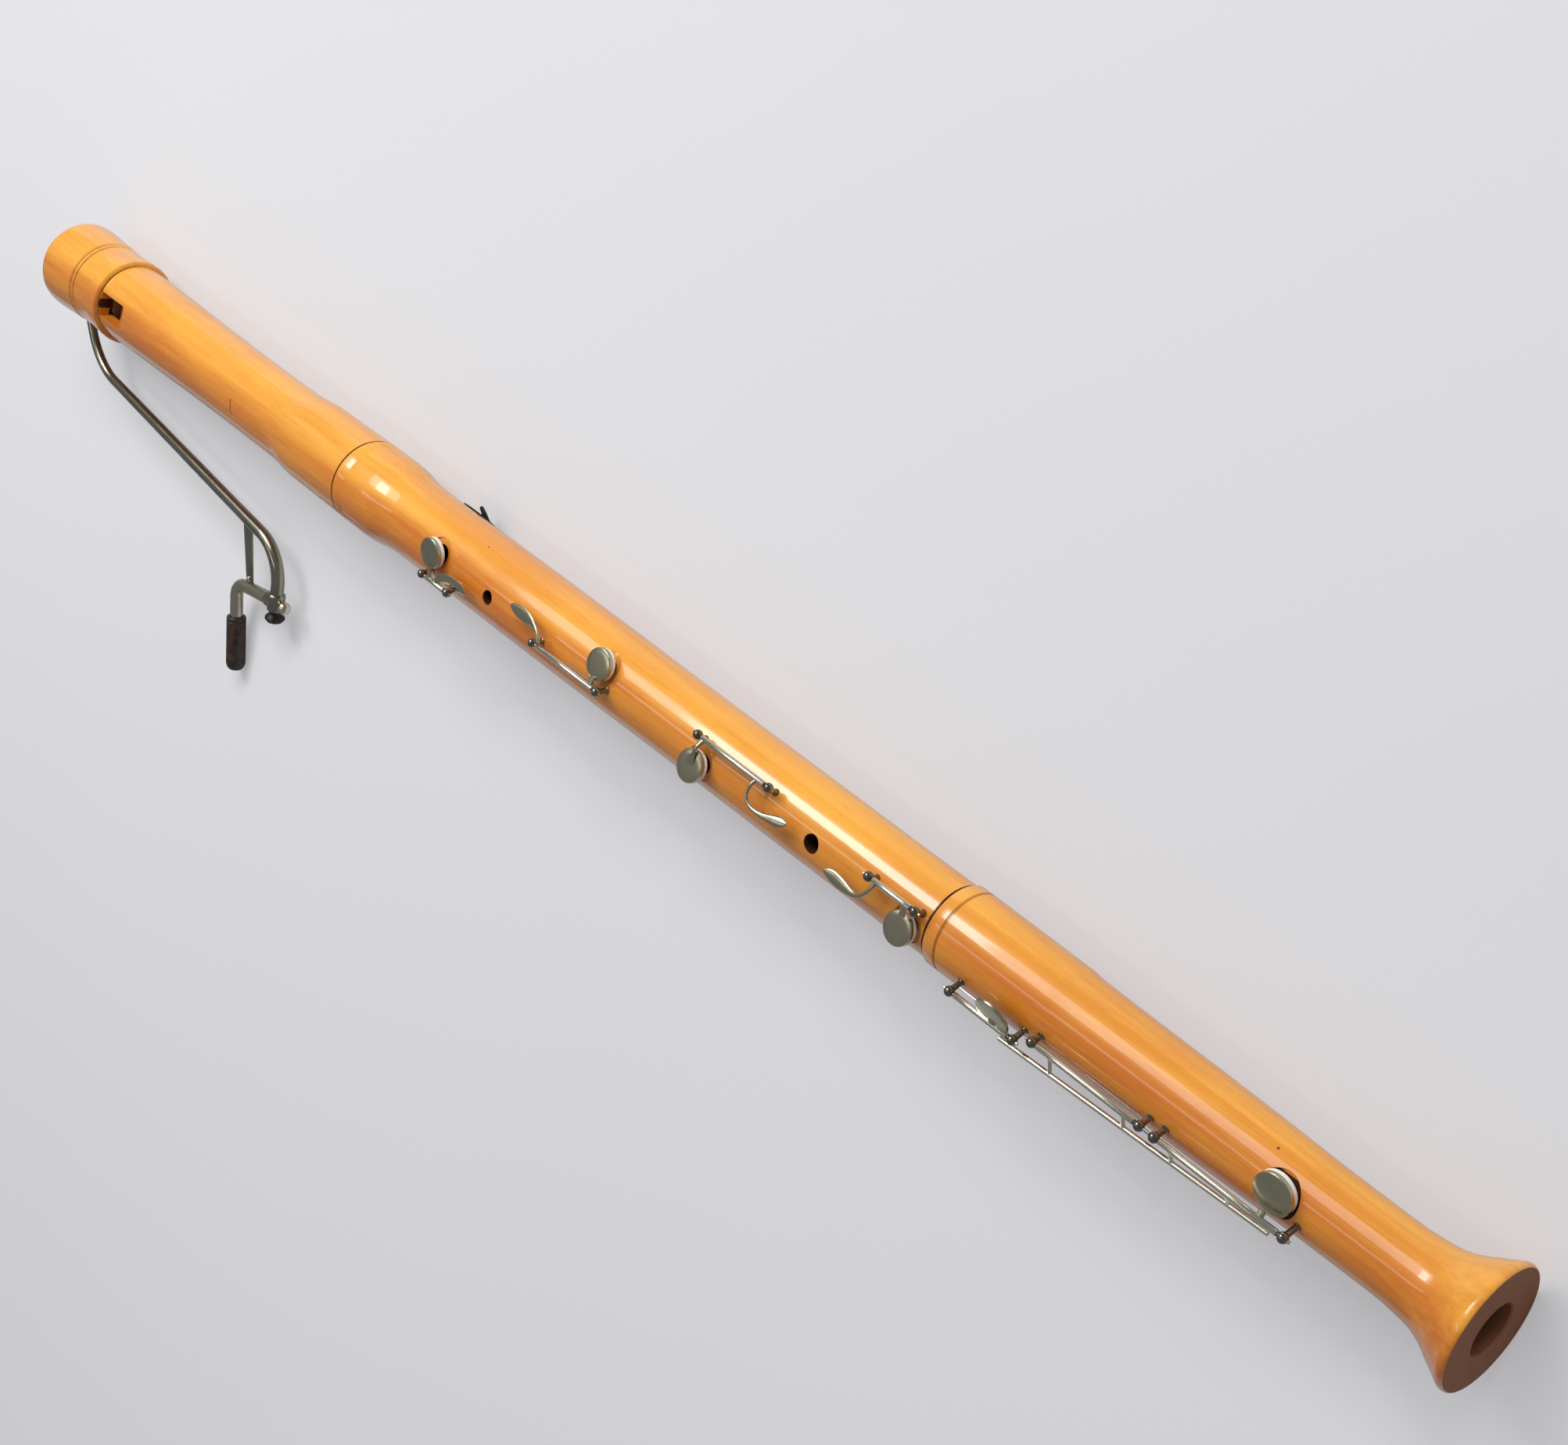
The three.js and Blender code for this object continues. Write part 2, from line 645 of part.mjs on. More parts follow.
function pinBore(start, end) {
  return solidOf(rodAlongX(pinHoleRadius, start - overrun, end + overrun, boreSides));
}

// Cup: a shallow round shell over the pad, with a hollow for it

function padTop() {
  return runningGap + padThickness;
}

function cupTop() {
  return padTop() + runningGap + cupRoof;
}

function cupSolid(hinge, outline) {
  const { cup } = hinge;
  const hollow = cup.radius - padInset + runningGap;
  const roof = padTop() + runningGap;
  const shell = spun([
    [0, roof], [hollow, roof], [hollow, cupRimHeight], [cup.radius, cupRimHeight],
    [cup.radius, cupTop() - cupBevel], [cup.radius - cupBevel, cupTop()], [0, cupTop()],
  ], 2 * tubeSides);
  return solidOf(ontoStation(shell, hinge, cup.x, seatRadius(outline, cup), cup.angle));
}

function padSolid(hinge, outline) {
  const { cup } = hinge;
  const radius = cup.radius - padInset;
  const disc = new THREE.CylinderGeometry(radius, radius, padThickness, 2 * holeSides);
  disc.rotateX(Math.PI / 2).translate(0, 0, runningGap + padThickness / 2);
  return solidOf(ontoStation(disc, hinge, cup.x, seatRadius(outline, cup), cup.angle));
}

function cupArm(hinge, outline) {
  const { cup } = hinge;
  const roofRadius = seatRadius(outline, cup) + cupTop();
  const onCup = hingePoint(hinge, cup.x, roofRadius, cup.angle);
  return barBetween(new THREE.Vector3(cup.armX, 0, 0), onCup, armWidth, armThickness);
}

// Finger plate: an oval on its own arm

function ovalPlate(hinge, r, { x, angle, halfLength, halfWidth }) {
  const plate = new THREE.CylinderGeometry(1, 1, plateThickness, 2 * tubeSides).rotateX(Math.PI / 2);
  plate.scale(halfLength, halfWidth, 1);
  return solidOf(ontoStation(plate, hinge, x, r, angle));
}

// The catch that the needle spring bears on, below the tube

function springCatch(hinge, outline, [from, to], side) {
  const tip = from + (to - from) * springShare;
  const x = tip - Math.sign(to - from) * armWidth;
  const height = hinge.hingeRadius - surfaceRadius(outline, from) - springHeight + springRadius;
  const lug = new THREE.BoxGeometry(armWidth, catchThickness, height);
  return moved(lug, x, -side * (catchGap + catchThickness / 2), -height / 2);
}

function onHinge(meshes, hinge, opening) {
  const group = stationAt(hinge.hingeAngle);
  const lever = new THREE.Group();
  lever.position.z = hinge.hingeRadius;
  lever.rotation.x = opening;
  lever.add(...meshes);
  group.add(lever);
  return group;
}

function middleKey(hinge) {
  const { name, posts, hingeAngle, hingeRadius, cup, plate } = hinge;
  const side = Math.sign(hingeAngle - cup.angle);
  const plateRadius = surfaceRadius(middleOutline, plate.x) + plateHeight;
  const plateFoot = hingePoint(hinge, plate.footX, plateRadius, plate.angle);
  const lever = hingeTube(...posts)
    .add(cupArm(hinge, middleOutline))
    .add(cupSolid(hinge, middleOutline))
    .add(barBetween(new THREE.Vector3(plate.armX, 0, 0), plateFoot, armWidth, armThickness))
    .add(ovalPlate(hinge, plateRadius, plate))
    .add(springCatch(hinge, middleOutline, posts, side))
    .subtract(pinBore(...posts));
  const opened = -side * radians(middleKeyOpening);
  return [
    onHinge([
      pieceOf(`${name}_lever`, lever, nickel),
      pieceOf(`${name}_pad`, padSolid(hinge, middleOutline), leather),
    ], hinge, opened),
    post(`${name}_lower_post`, middleOutline, posts[0], hingeAngle, hingeRadius),
    post(`${name}_upper_post`, middleOutline, posts[1], hingeAngle, hingeRadius),
    hingePin(`${name}_pin`, posts, hingeAngle, hingeRadius),
    needleSpring(`${name}_spring`, middleOutline, posts, hingeAngle),
  ];
}

// A place on the closed tongue, and above it, in the frame of the touch lever's hinge

function onTongue(x, along, above) {
  const slope = radians(tongue.slope);
  return new THREE.Vector3(
    x, along * Math.cos(slope) + above * Math.sin(slope), above * Math.cos(slope) - along * Math.sin(slope));
}

// Foot key, first lever: round finger plate on a short tube, with the tongue that lifts the long bar

function footTouchLever() {
  const { posts, hingeAngle, hingeRadius } = touchHinge;
  const plateX = alongFoot(footPlaceShares.touchPlate);
  const plateRadius = surfaceRadius(footOutline, plateX) + touchPlate.height;
  const { radius, angle } = touchPlate;
  const round = new THREE.CylinderGeometry(radius, radius, plateThickness, 2 * tubeSides);
  const disc = ontoStation(round.rotateX(Math.PI / 2), touchHinge, plateX, plateRadius, angle);
  const tongueX = alongFoot(footPlaceShares.tongue);
  const tongueEnd = onTongue(tongueX, tongue.length, 0);
  const lever = hingeTube(...posts)
    .add(solidOf(disc))
    .add(barBetween(new THREE.Vector3(plateX, 0, 0),
      hingePoint(touchHinge, plateX, plateRadius, angle), armWidth, armThickness))
    .add(barBetween(new THREE.Vector3(tongueX, 0, 0), tongueEnd, tongue.width, armThickness))
    .add(springCatch(touchHinge, footOutline, [...posts].reverse(), 1))
    .subtract(pinBore(...posts));
  return [
    onHinge([pieceOf('foot_touch_lever', lever, nickel)], touchHinge, -radians(footTouch.opening)),
    post('foot_touch_lower_post', footOutline, posts[0], hingeAngle, hingeRadius),
    post('foot_touch_upper_post', footOutline, posts[1], hingeAngle, hingeRadius),
    hingePin('foot_touch_pin', posts, hingeAngle, hingeRadius),
    needleSpring('foot_touch_spring', footOutline, [...posts].reverse(), hingeAngle),
  ];
}

// Foot key, second lever: two tubes in line, tied by the long bar that passes the middle posts

function footCupLever() {
  const { posts, hingeAngle, hingeRadius } = cupHinge;
  const [lowX, highX] = footPlaceShares.bar.map(alongFoot);
  const lowEnd = new THREE.Vector3(lowX, longBar.lowReach, -longBar.lowDrop);
  const clearance = armThickness / 2 + longBar.play + longBar.radius;
  const highEnd = onTongue(highX, longBar.onTongue, clearance);
  highEnd.z += touchHinge.hingeRadius;
  highEnd.applyAxisAngle(new THREE.Vector3(1, 0, 0), radians(hingeAngle - touchHinge.hingeAngle));
  highEnd.z -= hingeRadius;
  let lever = hingeTube(posts[0], posts[1])
    .add(hingeTube(posts[2], posts[3]))
    .add(rodBetween(lowEnd, highEnd, longBar.radius, boreSides))
    .add(cupArm(cupHinge, footOutline))
    .add(cupSolid(cupHinge, footOutline))
    .add(springCatch(cupHinge, footOutline, [posts[2], posts[3]], 1));
  for (const x of footPlaceShares.barArms.map(alongFoot)) {
    const onBar = lowEnd.clone().lerp(highEnd, (x - lowEnd.x) / (highEnd.x - lowEnd.x));
    lever = lever.add(barBetween(new THREE.Vector3(x, 0, 0), onBar, armWidth, armThickness));
  }
  lever = lever.subtract(pinBore(posts[0], posts[3]));
  const names = ['lower', 'lower_middle', 'upper_middle', 'upper'];
  return [
    onHinge([
      pieceOf('foot_cup_lever', lever, nickel),
      pieceOf('foot_key_pad', padSolid(cupHinge, footOutline), leather),
    ], cupHinge, -radians(footCup.opening)),
    ...names.map((name, i) => post(`foot_cup_${name}_post`, footOutline, posts[i], hingeAngle, hingeRadius)),
    hingePin('foot_cup_pin', posts, hingeAngle, hingeRadius),
    needleSpring('foot_cup_spring', footOutline, [posts[2], posts[3]], hingeAngle),
  ];
}

// Sling plate, bent round the back of the middle joint, with a half-round loop and two screws

function slingFittings() {
  const { angle, length, width, thickness } = slingPlate;
  const halfTurn = Math.asin(width / 2 / slingSeat);
  const section = new THREE.Shape();
  section.absarc(0, 0, slingSeat + thickness, -halfTurn, halfTurn, false);
  section.absarc(0, 0, slingSeat, halfTurn, -halfTurn, true);
  const sheet = new THREE.ExtrudeGeometry(section, { depth: length, bevelEnabled: false, curveSegments: 4 });
  sheet.rotateY(-Math.PI / 2).translate(slingX + length / 2, 0, 0);
  let plate = solidOf(sheet);
  const screws = slingScrewPlaces.map((place, i) => {
    const top = slingScrewTop;
    const holeRadius = slingScrew.shankRadius + runningGap;
    const drill = new THREE.CylinderGeometry(holeRadius, holeRadius, 2 * slingSeat, boreSides);
    plate = plate.subtract(moved(drill.rotateX(Math.PI / 2), place, 0, slingSeat));
    const screw = spun([
      [0, top - slingScrew.shankLength], [slingScrew.shankRadius, top - slingScrew.shankLength],
      [slingScrew.shankRadius, top], [slingScrew.headRadius, top],
      [slingScrew.headRadius, top + slingScrew.headHeight], [0, top + slingScrew.headHeight],
    ], boreSides);
    return pieceOf(`sling_screw_${i + 1}`, moved(screw, place, 0, 0), steel);
  });
  const wireRing = new THREE.TorusGeometry(slingLoop.radius, slingLoop.wire, boreSides, 2 * tubeSides);
  const loopFoot = slingSeat + thickness + runningGap;
  const loopX = slingX - slingLoop.offset;
  const ring = solidOf(wireRing.rotateX(Math.PI / 2).translate(loopX, 0, loopFoot));
  const reach = slingLoop.radius + slingLoop.wire + overrun;
  const lowerHalf = new THREE.BoxGeometry(2 * reach, 2 * reach, reach);
  const loop = ring.subtract(moved(lowerHalf, loopX, 0, loopFoot - reach / 2));
  const station = stationAt(angle);
  station.add(pieceOf('sling_plate', plate, nickel), pieceOf('sling_loop', loop, steel), ...screws);
  return station;
}

// A hollow pipe whose centre line has straight runs and round bends in the crook's plane

function bentLine(corners, bends) {
  const line = new THREE.CurvePath();
  let from = corners[0];
  bends.forEach((bend, i) => {
    const corner = corners[i + 1];
    const before = corners[i].clone().sub(corner).normalize();
    const after = corners[i + 2].clone().sub(corner).normalize();
    const halfAngle = before.angleTo(after) / 2;
    const reach = bend / Math.tan(halfAngle);
    const handle = bend * Math.tan((Math.PI / 2 - halfAngle) / 2) * 4 / 3;
    const onBend = (way, distance) => corner.clone().addScaledVector(way, distance);
    const start = onBend(before, reach);
    const end = onBend(after, reach);
    line.add(new THREE.LineCurve3(from, start));
    line.add(new THREE.CubicBezierCurve3(
      start, onBend(before, reach - handle), onBend(after, reach - handle), end));
    from = end;
  });
  line.add(new THREE.LineCurve3(from, corners.at(-1)));
  return line.getPoints(bendDivisions);
}

function hollowPipe(line, startRadius, endRadius, wall) {
  const count = line.length;
  const travelled = [0];
  for (let i = 1; i < count; i += 1) travelled.push(travelled[i - 1] + line[i].distanceTo(line[i - 1]));
  const vertices = [];
  const addRing = (i, inset) => {
    const along = line[Math.min(i + 1, count - 1)].clone().sub(line[Math.max(i - 1, 0)]).normalize();
    const radius = startRadius + (endRadius - startRadius) * travelled[i] / travelled[count - 1] - inset;
    for (let k = 0; k < tubeSides; k += 1) {
      const turn = 2 * Math.PI * k / tubeSides;
      const out = new THREE.Vector3(along.z * Math.sin(turn), Math.cos(turn), -along.x * Math.sin(turn));
      vertices.push(...line[i].clone().addScaledVector(out, radius).toArray());
    }
  };
  for (let i = 0; i < count; i += 1) addRing(i, 0);
  for (let i = count - 1; i >= 0; i -= 1) addRing(i, wall);
  const rings = 2 * count;
  const corners = [];
  for (let i = 0; i < rings; i += 1) {
    for (let k = 0; k < tubeSides; k += 1) {
      const vertex = (ring, side) => (ring % rings) * tubeSides + side % tubeSides;
      const [a, b] = [vertex(i, k), vertex(i + 1, k)];
      const [c, d] = [vertex(i + 1, k + 1), vertex(i, k + 1)];
      corners.push(a, b, c, a, c, d);
    }
  }
  return new wasm.Manifold(new wasm.Mesh({
    numProp: 3,
    vertProperties: new Float32Array(vertices),
    triVerts: new Uint32Array(corners),
  }));
}

// Crook: the tube from the cap's socket down the instrument and out to the elbow

function crookPieces() {
  const { inner, outer, radius, bore, tilt } = crookSocket;
  const sleeve = turned(
    [new THREE.Vector2(radius, -inner), new THREE.Vector2(radius, outer)],
    [new THREE.Vector2(bore, -inner), new THREE.Vector2(bore, outer)], holeSides);
  sleeve.rotateY(-Math.PI / 2);
  const socket = solidOf(tiltedTo(sleeve, tilt, socketCentre));

  const tubeEnd = inPlane(crookDropX, elbowRadius - elbow.below + crookTube.inElbow);
  const tubeStart = socketCentre.clone().addScaledVector(socketDirection, -crookTube.inSocket);
  const tube = hollowPipe(
    bentLine([tubeStart, upperCorner, lowerCorner, tubeEnd], [crookRise.bend, crookDrop.bend]),
    crookTube.startRadius, crookTube.endRadius, crookTube.wall);

  const along = (distance) => elbowCentre.clone().addScaledVector(branchDirection, distance);
  const pipeStart = along(elbowBranch.length - mouthPipe.inElbow);
  const onMouth = (distance) => mouthCorner.clone().addScaledVector(mouthDirection, distance);
  const pipe = hollowPipe(
    bentLine([pipeStart, mouthCorner, onMouth(mouthpiece.start + mouthpiece.socketDepth)], [mouthPipe.bend]),
    mouthPipe.radius, mouthPipe.radius, mouthPipe.wall);

  const top = elbowRadius + elbow.above;
  const bottom = elbowRadius - elbow.below;
  const tubeSocket = crookTube.endRadius + runningGap;
  const pipeSocket = mouthPipe.radius + runningGap;
  const elbowBody = rodBetween(inPlane(crookDropX, bottom), inPlane(crookDropX, top), elbow.radius, holeSides)
    .add(rodBetween(elbowCentre, along(elbowBranch.length), elbowBranch.radius, holeSides))
    .subtract(rodBetween(inPlane(crookDropX, bottom - overrun), inPlane(crookDropX, top + overrun),
      elbow.bore, tubeSides))
    .subtract(rodBetween(inPlane(crookDropX, bottom - overrun),
      inPlane(crookDropX, bottom + crookTube.inElbow + runningGap), tubeSocket, holeSides))
    .subtract(rodBetween(elbowCentre, along(elbowBranch.length + overrun), elbow.bore, tubeSides))
    .subtract(rodBetween(along(elbowBranch.length - mouthPipe.inElbow - runningGap),
      along(elbowBranch.length + overrun), pipeSocket, holeSides));

  const ballFace = crookDropX - elbow.radius - runningGap;
  const ballCentre = ballFace - elbowBall.seat;
  const sphere = new THREE.SphereGeometry(elbowBall.radius, holeSides, tubeSides);
  const flatSide = new THREE.BoxGeometry(elbow.radius, 2 * elbow.radius, 2 * elbow.radius);
  const ball = moved(sphere, ballCentre, 0, elbowRadius)
    .subtract(moved(flatSide, ballFace + elbow.radius / 2, 0, elbowRadius));

  return [
    pieceOf('crook_socket', socket, nickel),
    pieceOf('crook_tube', tube, nickel),
    pieceOf('drain_elbow', elbowBody, nickel),
    pieceOf('elbow_ball', ball, nickel),
    pieceOf('drain_stopper', drainStopper(top), darkMetal),
    pieceOf('mouth_pipe', pipe, nickel),
    pieceOf('mouthpiece', mouthpieceSolid(), ebonite),
    ...bracePieces(),
  ];
}

// Drain stopper: a flared knob whose plug closes the elbow's lower end

function drainStopper(top) {
  const { plugRadius, plugLength, neckRadius, rimRadius, height } = stopper;
  const foot = top + runningGap;
  const profile = [
    [0, foot - plugLength], [plugRadius, foot - plugLength], [plugRadius, foot], [neckRadius, foot],
    [neckRadius, foot + height * stopperShares.neck], [rimRadius, foot + height * stopperShares.rimLow],
    [rimRadius, foot + height * stopperShares.rimHigh],
    [rimRadius * stopperShares.crownRadius, foot + height * stopperShares.crown], [0, foot + height],
  ];
  return moved(spun(profile, holeSides), crookDropX, 0, 0);
}

// Mouthpiece: a dark tube with a rounded tip over the end of the mouth pipe

function mouthpieceSolid() {
  const { start, length, radius, bore, socketDepth, rounding } = mouthpiece;
  const pipeSocket = mouthPipe.radius + runningGap;
  const socketEnd = start + socketDepth + runningGap;
  const end = start + length;
  const profile = [
    [pipeSocket, start], [radius, start], [radius, end - rounding],
    [radius - rounding / 3, end - rounding / 3], [radius - rounding, end], [bore, end],
    [bore, socketEnd], [pipeSocket, socketEnd], [pipeSocket, start],
  ];
  return solidOf(tiltedTo(spun(profile, holeSides), mouthPipe.tilt, mouthCorner));
}

// Brace: a flat strip from the crook to the mouth pipe, with one rivet

function bracePieces() {
  const onCrook = (x) => lowerCorner.clone().addScaledVector(runDirection, x / runDirection.x);
  const onPipe = (x) => elbowCentre.clone().addScaledVector(branchDirection, x / branchDirection.x);
  const crookEnd = onCrook(brace.onCrook);
  const pipeEnd = onPipe(brace.onPipe);
  const span = pipeEnd.clone().sub(crookEnd);
  const tilt = THREE.MathUtils.radToDeg(Math.atan2(span.x, span.z));
  const strip = new THREE.BoxGeometry(brace.width, brace.thickness, span.length());
  const middle = crookEnd.clone().add(pipeEnd).multiplyScalar(0.5);
  const clearOf = (line, radius) => rodBetween(
    line(brace.onPipe - brace.width), line(brace.onCrook + brace.width), radius + runningGap, tubeSides);
  const place = pipeEnd.clone().addScaledVector(span.clone().normalize(), -rivet.fromPipe);
  const hole = tiltedTo(new THREE.CylinderGeometry(
    rivet.shankRadius + runningGap, rivet.shankRadius + runningGap, elbow.radius, boreSides), tilt, place);
  const plate = solidOf(tiltedTo(strip, tilt, middle))
    .subtract(clearOf(onCrook, crookTube.endRadius))
    .subtract(clearOf(onPipe, mouthPipe.radius))
    .subtract(solidOf(hole));
  const face = brace.thickness / 2 + runningGap;
  const head = spun([
    [0, -face], [rivet.shankRadius, -face], [rivet.shankRadius, face], [rivet.radius, face],
    [rivet.radius * rivet.crownShare, face + rivet.height], [0, face + rivet.height],
  ], boreSides);
  head.rotateX(Math.PI / 2);
  return [
    pieceOf('crook_brace', plate, nickel),
    pieceOf('brace_rivet', solidOf(tiltedTo(head, tilt, place)), nickel),
  ];
}

// The whole instrument

const crook = stationAt(crookAngle);
crook.add(...crookPieces());

const instrument = new THREE.Group();
instrument.add(
  footJoint(), middleJoint(), headJoint(), windwayBlock(), headCap(),
  corkRing('foot_tenon_cork', lowerTenon, middleStart, -1),
  corkRing('head_tenon_cork', upperTenon, middleEnd, 1),
  corkRing('cap_tenon_cork', capTenon, headEnd, 1),
  crook, slingFittings(), ...placedKeys.flatMap(middleKey), ...footTouchLever(), ...footCupLever(),
);
instrument.updateMatrixWorld(true);
const bounds = new THREE.Box3().setFromObject(instrument, true);
const centre = bounds.getCenter(new THREE.Vector3());
instrument.position.set(-centre.x, -centre.y, -bounds.min.z);

const group = new THREE.Group();
group.add(instrument);

export default group;
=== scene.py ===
import json
import math

import bmesh
import bpy
from mathutils import Matrix, Vector


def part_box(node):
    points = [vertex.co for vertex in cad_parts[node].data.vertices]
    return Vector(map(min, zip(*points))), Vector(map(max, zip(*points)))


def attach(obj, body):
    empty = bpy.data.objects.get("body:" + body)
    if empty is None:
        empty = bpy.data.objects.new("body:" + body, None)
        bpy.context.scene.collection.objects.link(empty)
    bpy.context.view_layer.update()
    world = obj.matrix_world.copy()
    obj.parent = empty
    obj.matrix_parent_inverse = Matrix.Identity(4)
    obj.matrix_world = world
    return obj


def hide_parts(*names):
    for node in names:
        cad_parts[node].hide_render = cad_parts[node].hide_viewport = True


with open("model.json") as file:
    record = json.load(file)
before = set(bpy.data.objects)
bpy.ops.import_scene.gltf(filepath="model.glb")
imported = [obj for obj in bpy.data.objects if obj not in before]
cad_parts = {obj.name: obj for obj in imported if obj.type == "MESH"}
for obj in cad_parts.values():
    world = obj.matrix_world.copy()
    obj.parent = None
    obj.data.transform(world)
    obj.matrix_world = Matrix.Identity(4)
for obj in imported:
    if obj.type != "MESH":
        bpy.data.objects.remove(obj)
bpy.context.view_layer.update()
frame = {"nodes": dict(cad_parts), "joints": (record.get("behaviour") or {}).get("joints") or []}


# Foot joint
# A turned hardwood tube that flares to the bell, stained honey-orange and lacquered. The bell's
# flat end is bare end grain. A flat seat is milled round the hole under the big cup.

mm = 0.001
foot_low, foot_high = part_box("foot_joint")
axis_y = (foot_low.y + foot_high.y) / 2
axis_z = (foot_low.z + foot_high.z) / 2
along_body = Matrix.Rotation(math.pi / 2, 4, "Y")


def station(x, angle=0, radius=0):
    """A place on the instrument, x from the bell's end, with +Z outwards at that angle from the top."""
    return (Matrix.Translation((foot_low.x + x * mm, axis_y, axis_z))
            @ Matrix.Rotation(-math.radians(angle), 4, "X")
            @ Matrix.Translation((0, 0, radius * mm)))


def eased(points, steps=4):
    """The turner's smooth curve through (distance, radius) points."""
    slopes = []
    for i in range(len(points)):
        before = points[max(i - 1, 0)]
        after = points[min(i + 1, len(points) - 1)]
        slopes.append((after[1] - before[1]) / (after[0] - before[0]))
    line = [points[0]]
    for i in range(len(points) - 1):
        (x0, r0), (x1, r1) = points[i], points[i + 1]
        span = x1 - x0
        for step in range(1, steps + 1):
            t = step / steps
            radius = ((2 * t**3 - 3 * t**2 + 1) * r0 + (t**3 - 2 * t**2 + t) * span * slopes[i]
                      + (3 * t**2 - 2 * t**3) * r1 + (t**3 - t**2) * span * slopes[i + 1])
            line.append((x0 + span * t, radius))
    return line


def radius_at(outline, x):
    """The outline's radius at that distance from the bell."""
    after = next(i for i, point in enumerate(outline) if point[0] > x)
    (x0, r0), (x1, r1) = outline[after - 1], outline[after]
    return r0 + (r1 - r0) * (x - x0) / (x1 - x0)


def spun(bm, profile, place, steps=24, closed=False):
    """Turns a profile of (radius, height) points, in millimetres, about the place's Z axis."""
    ring = [bm.verts.new(place @ Vector((radius * mm, 0, height * mm))) for radius, height in profile]
    pairs = list(zip(ring, ring[1:]))
    if closed:
        pairs.append((ring[-1], ring[0]))
    edges = [bm.edges.new(pair) for pair in pairs]
    bmesh.ops.spin(bm, geom=ring + edges, cent=place.translation, axis=place.col[2].xyz,
                   angle=2 * math.pi, steps=steps, use_merge=True)


def object_from(name, bm):
    """A plain object with the shape's faces pointing outwards."""
    bmesh.ops.remove_doubles(bm, verts=bm.verts, dist=0.002 * mm)
    bmesh.ops.recalc_face_normals(bm, faces=bm.faces)
    mesh = bpy.data.meshes.new(name)
    bm.to_mesh(mesh)
    bm.free()
    piece = bpy.data.objects.new(name, mesh)
    bpy.context.scene.collection.objects.link(piece)
    return piece


def carve(piece, bm):
    """Cuts closed shapes out of a piece."""
    tool = object_from("cutting_tool", bm)
    cut = piece.modifiers.new("cut", "BOOLEAN")
    cut.operation = "DIFFERENCE"
    cut.solver = "EXACT"
    cut.object = tool
    graph = bpy.context.evaluated_depsgraph_get()
    mesh = bpy.data.meshes.new_from_object(piece.evaluated_get(graph))
    piece.modifiers.clear()
    piece.data = mesh
    bpy.data.objects.remove(tool)


def fit(piece, finish, body, slot, *nodes, sharp=32):
    """Gives a piece its finish and joins it to its body in place of the plain solids."""
    piece.data.shade_smooth()
    piece.data.set_sharp_from_angle(angle=math.radians(sharp))
    piece.data.materials.clear()
    piece.data.materials.append(finish)
    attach(piece, body)
    if nodes:
        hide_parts(*nodes)


class Socket:
    """One output in a finish. Arithmetic on it adds Math nodes."""

    def __init__(self, tree, output):
        self.tree = tree
        self.output = output

    def node(self, kind, settings=None, values=None, output=0):
        """Adds any other node: its settings first, then its inputs."""
        made = self.tree.nodes.new(kind)
        for name, setting in (settings or {}).items():
            setattr(made, name, setting)
        for name, value in (values or {}).items():
            if isinstance(value, Socket):
                self.tree.links.new(value.output, made.inputs[name])
            elif isinstance(value, tuple) and len(made.inputs[name].default_value) == 4:
                made.inputs[name].default_value = (*value, 1)
            else:
                made.inputs[name].default_value = value
        return Socket(self.tree, made.outputs[output])

    def math(self, operation, first, second):
        return self.node("ShaderNodeMath", {"operation": operation}, {0: first, 1: second})

    def __add__(self, other):
        return self.math("ADD", self, other)

    def __radd__(self, other):
        return self.math("ADD", other, self)

    def __sub__(self, other):
        return self.math("SUBTRACT", self, other)

    def __rsub__(self, other):
        return self.math("SUBTRACT", other, self)

    def __mul__(self, other):
        return self.math("MULTIPLY", self, other)

    def __rmul__(self, other):
        return self.math("MULTIPLY", other, self)

    def __gt__(self, other):
        return self.math("GREATER_THAN", self, other)

    def __lt__(self, other):
        return self.math("LESS_THAN", self, other)

    def scaled(self, *factors):
        settings = {"operation": "MULTIPLY"}
        return self.node("ShaderNodeVectorMath", settings, {0: self, 1: Vector(factors)})

    def noise(self, scale, detail=3.0, roughness=0.5, distortion=0.0):
        values = {"Vector": self, "Scale": scale, "Detail": detail, "Roughness": roughness,
                  "Distortion": distortion}
        return self.node("ShaderNodeTexNoise", {}, values)

    def ease(self, low, high):
        """Goes smoothly from 0 at the low value to 1 at the high one."""
        values = {"Value": self, "From Min": low, "From Max": high}
        return self.node("ShaderNodeMapRange", {"interpolation_type": "SMOOTHSTEP"}, values)

    def mix(self, first, second):
        """Blends two colours by this amount."""
        values = {"Factor": self, 6: first, 7: second}
        return self.node("ShaderNodeMix", {"data_type": "RGBA"}, values, output=2)

    def apart(self):
        split = self.tree.nodes.new("ShaderNodeSeparateXYZ")
        self.tree.links.new(self.output, split.inputs[0])
        return [Socket(self.tree, output) for output in split.outputs]

    def bump(self, strength, distance):
        values = {"Height": self, "Strength": strength, "Distance": distance}
        return self.node("ShaderNodeBump", {}, values)


def new_finish(name):
    """An empty material and the place on the object that its patterns read."""
    finish = bpy.data.materials.new(name)
    finish.use_nodes = True
    finish.node_tree.nodes.clear()
    coords = finish.node_tree.nodes.new("ShaderNodeTexCoord")
    return finish, Socket(finish.node_tree, coords.outputs["Object"])


def coat_with(finish, place, values):
    """Ends a material in one surface shader."""
    shader = place.node("ShaderNodeBsdfPrincipled", {}, values)
    output = finish.node_tree.nodes.new("ShaderNodeOutputMaterial")
    finish.node_tree.links.new(shader.output, output.inputs["Surface"])


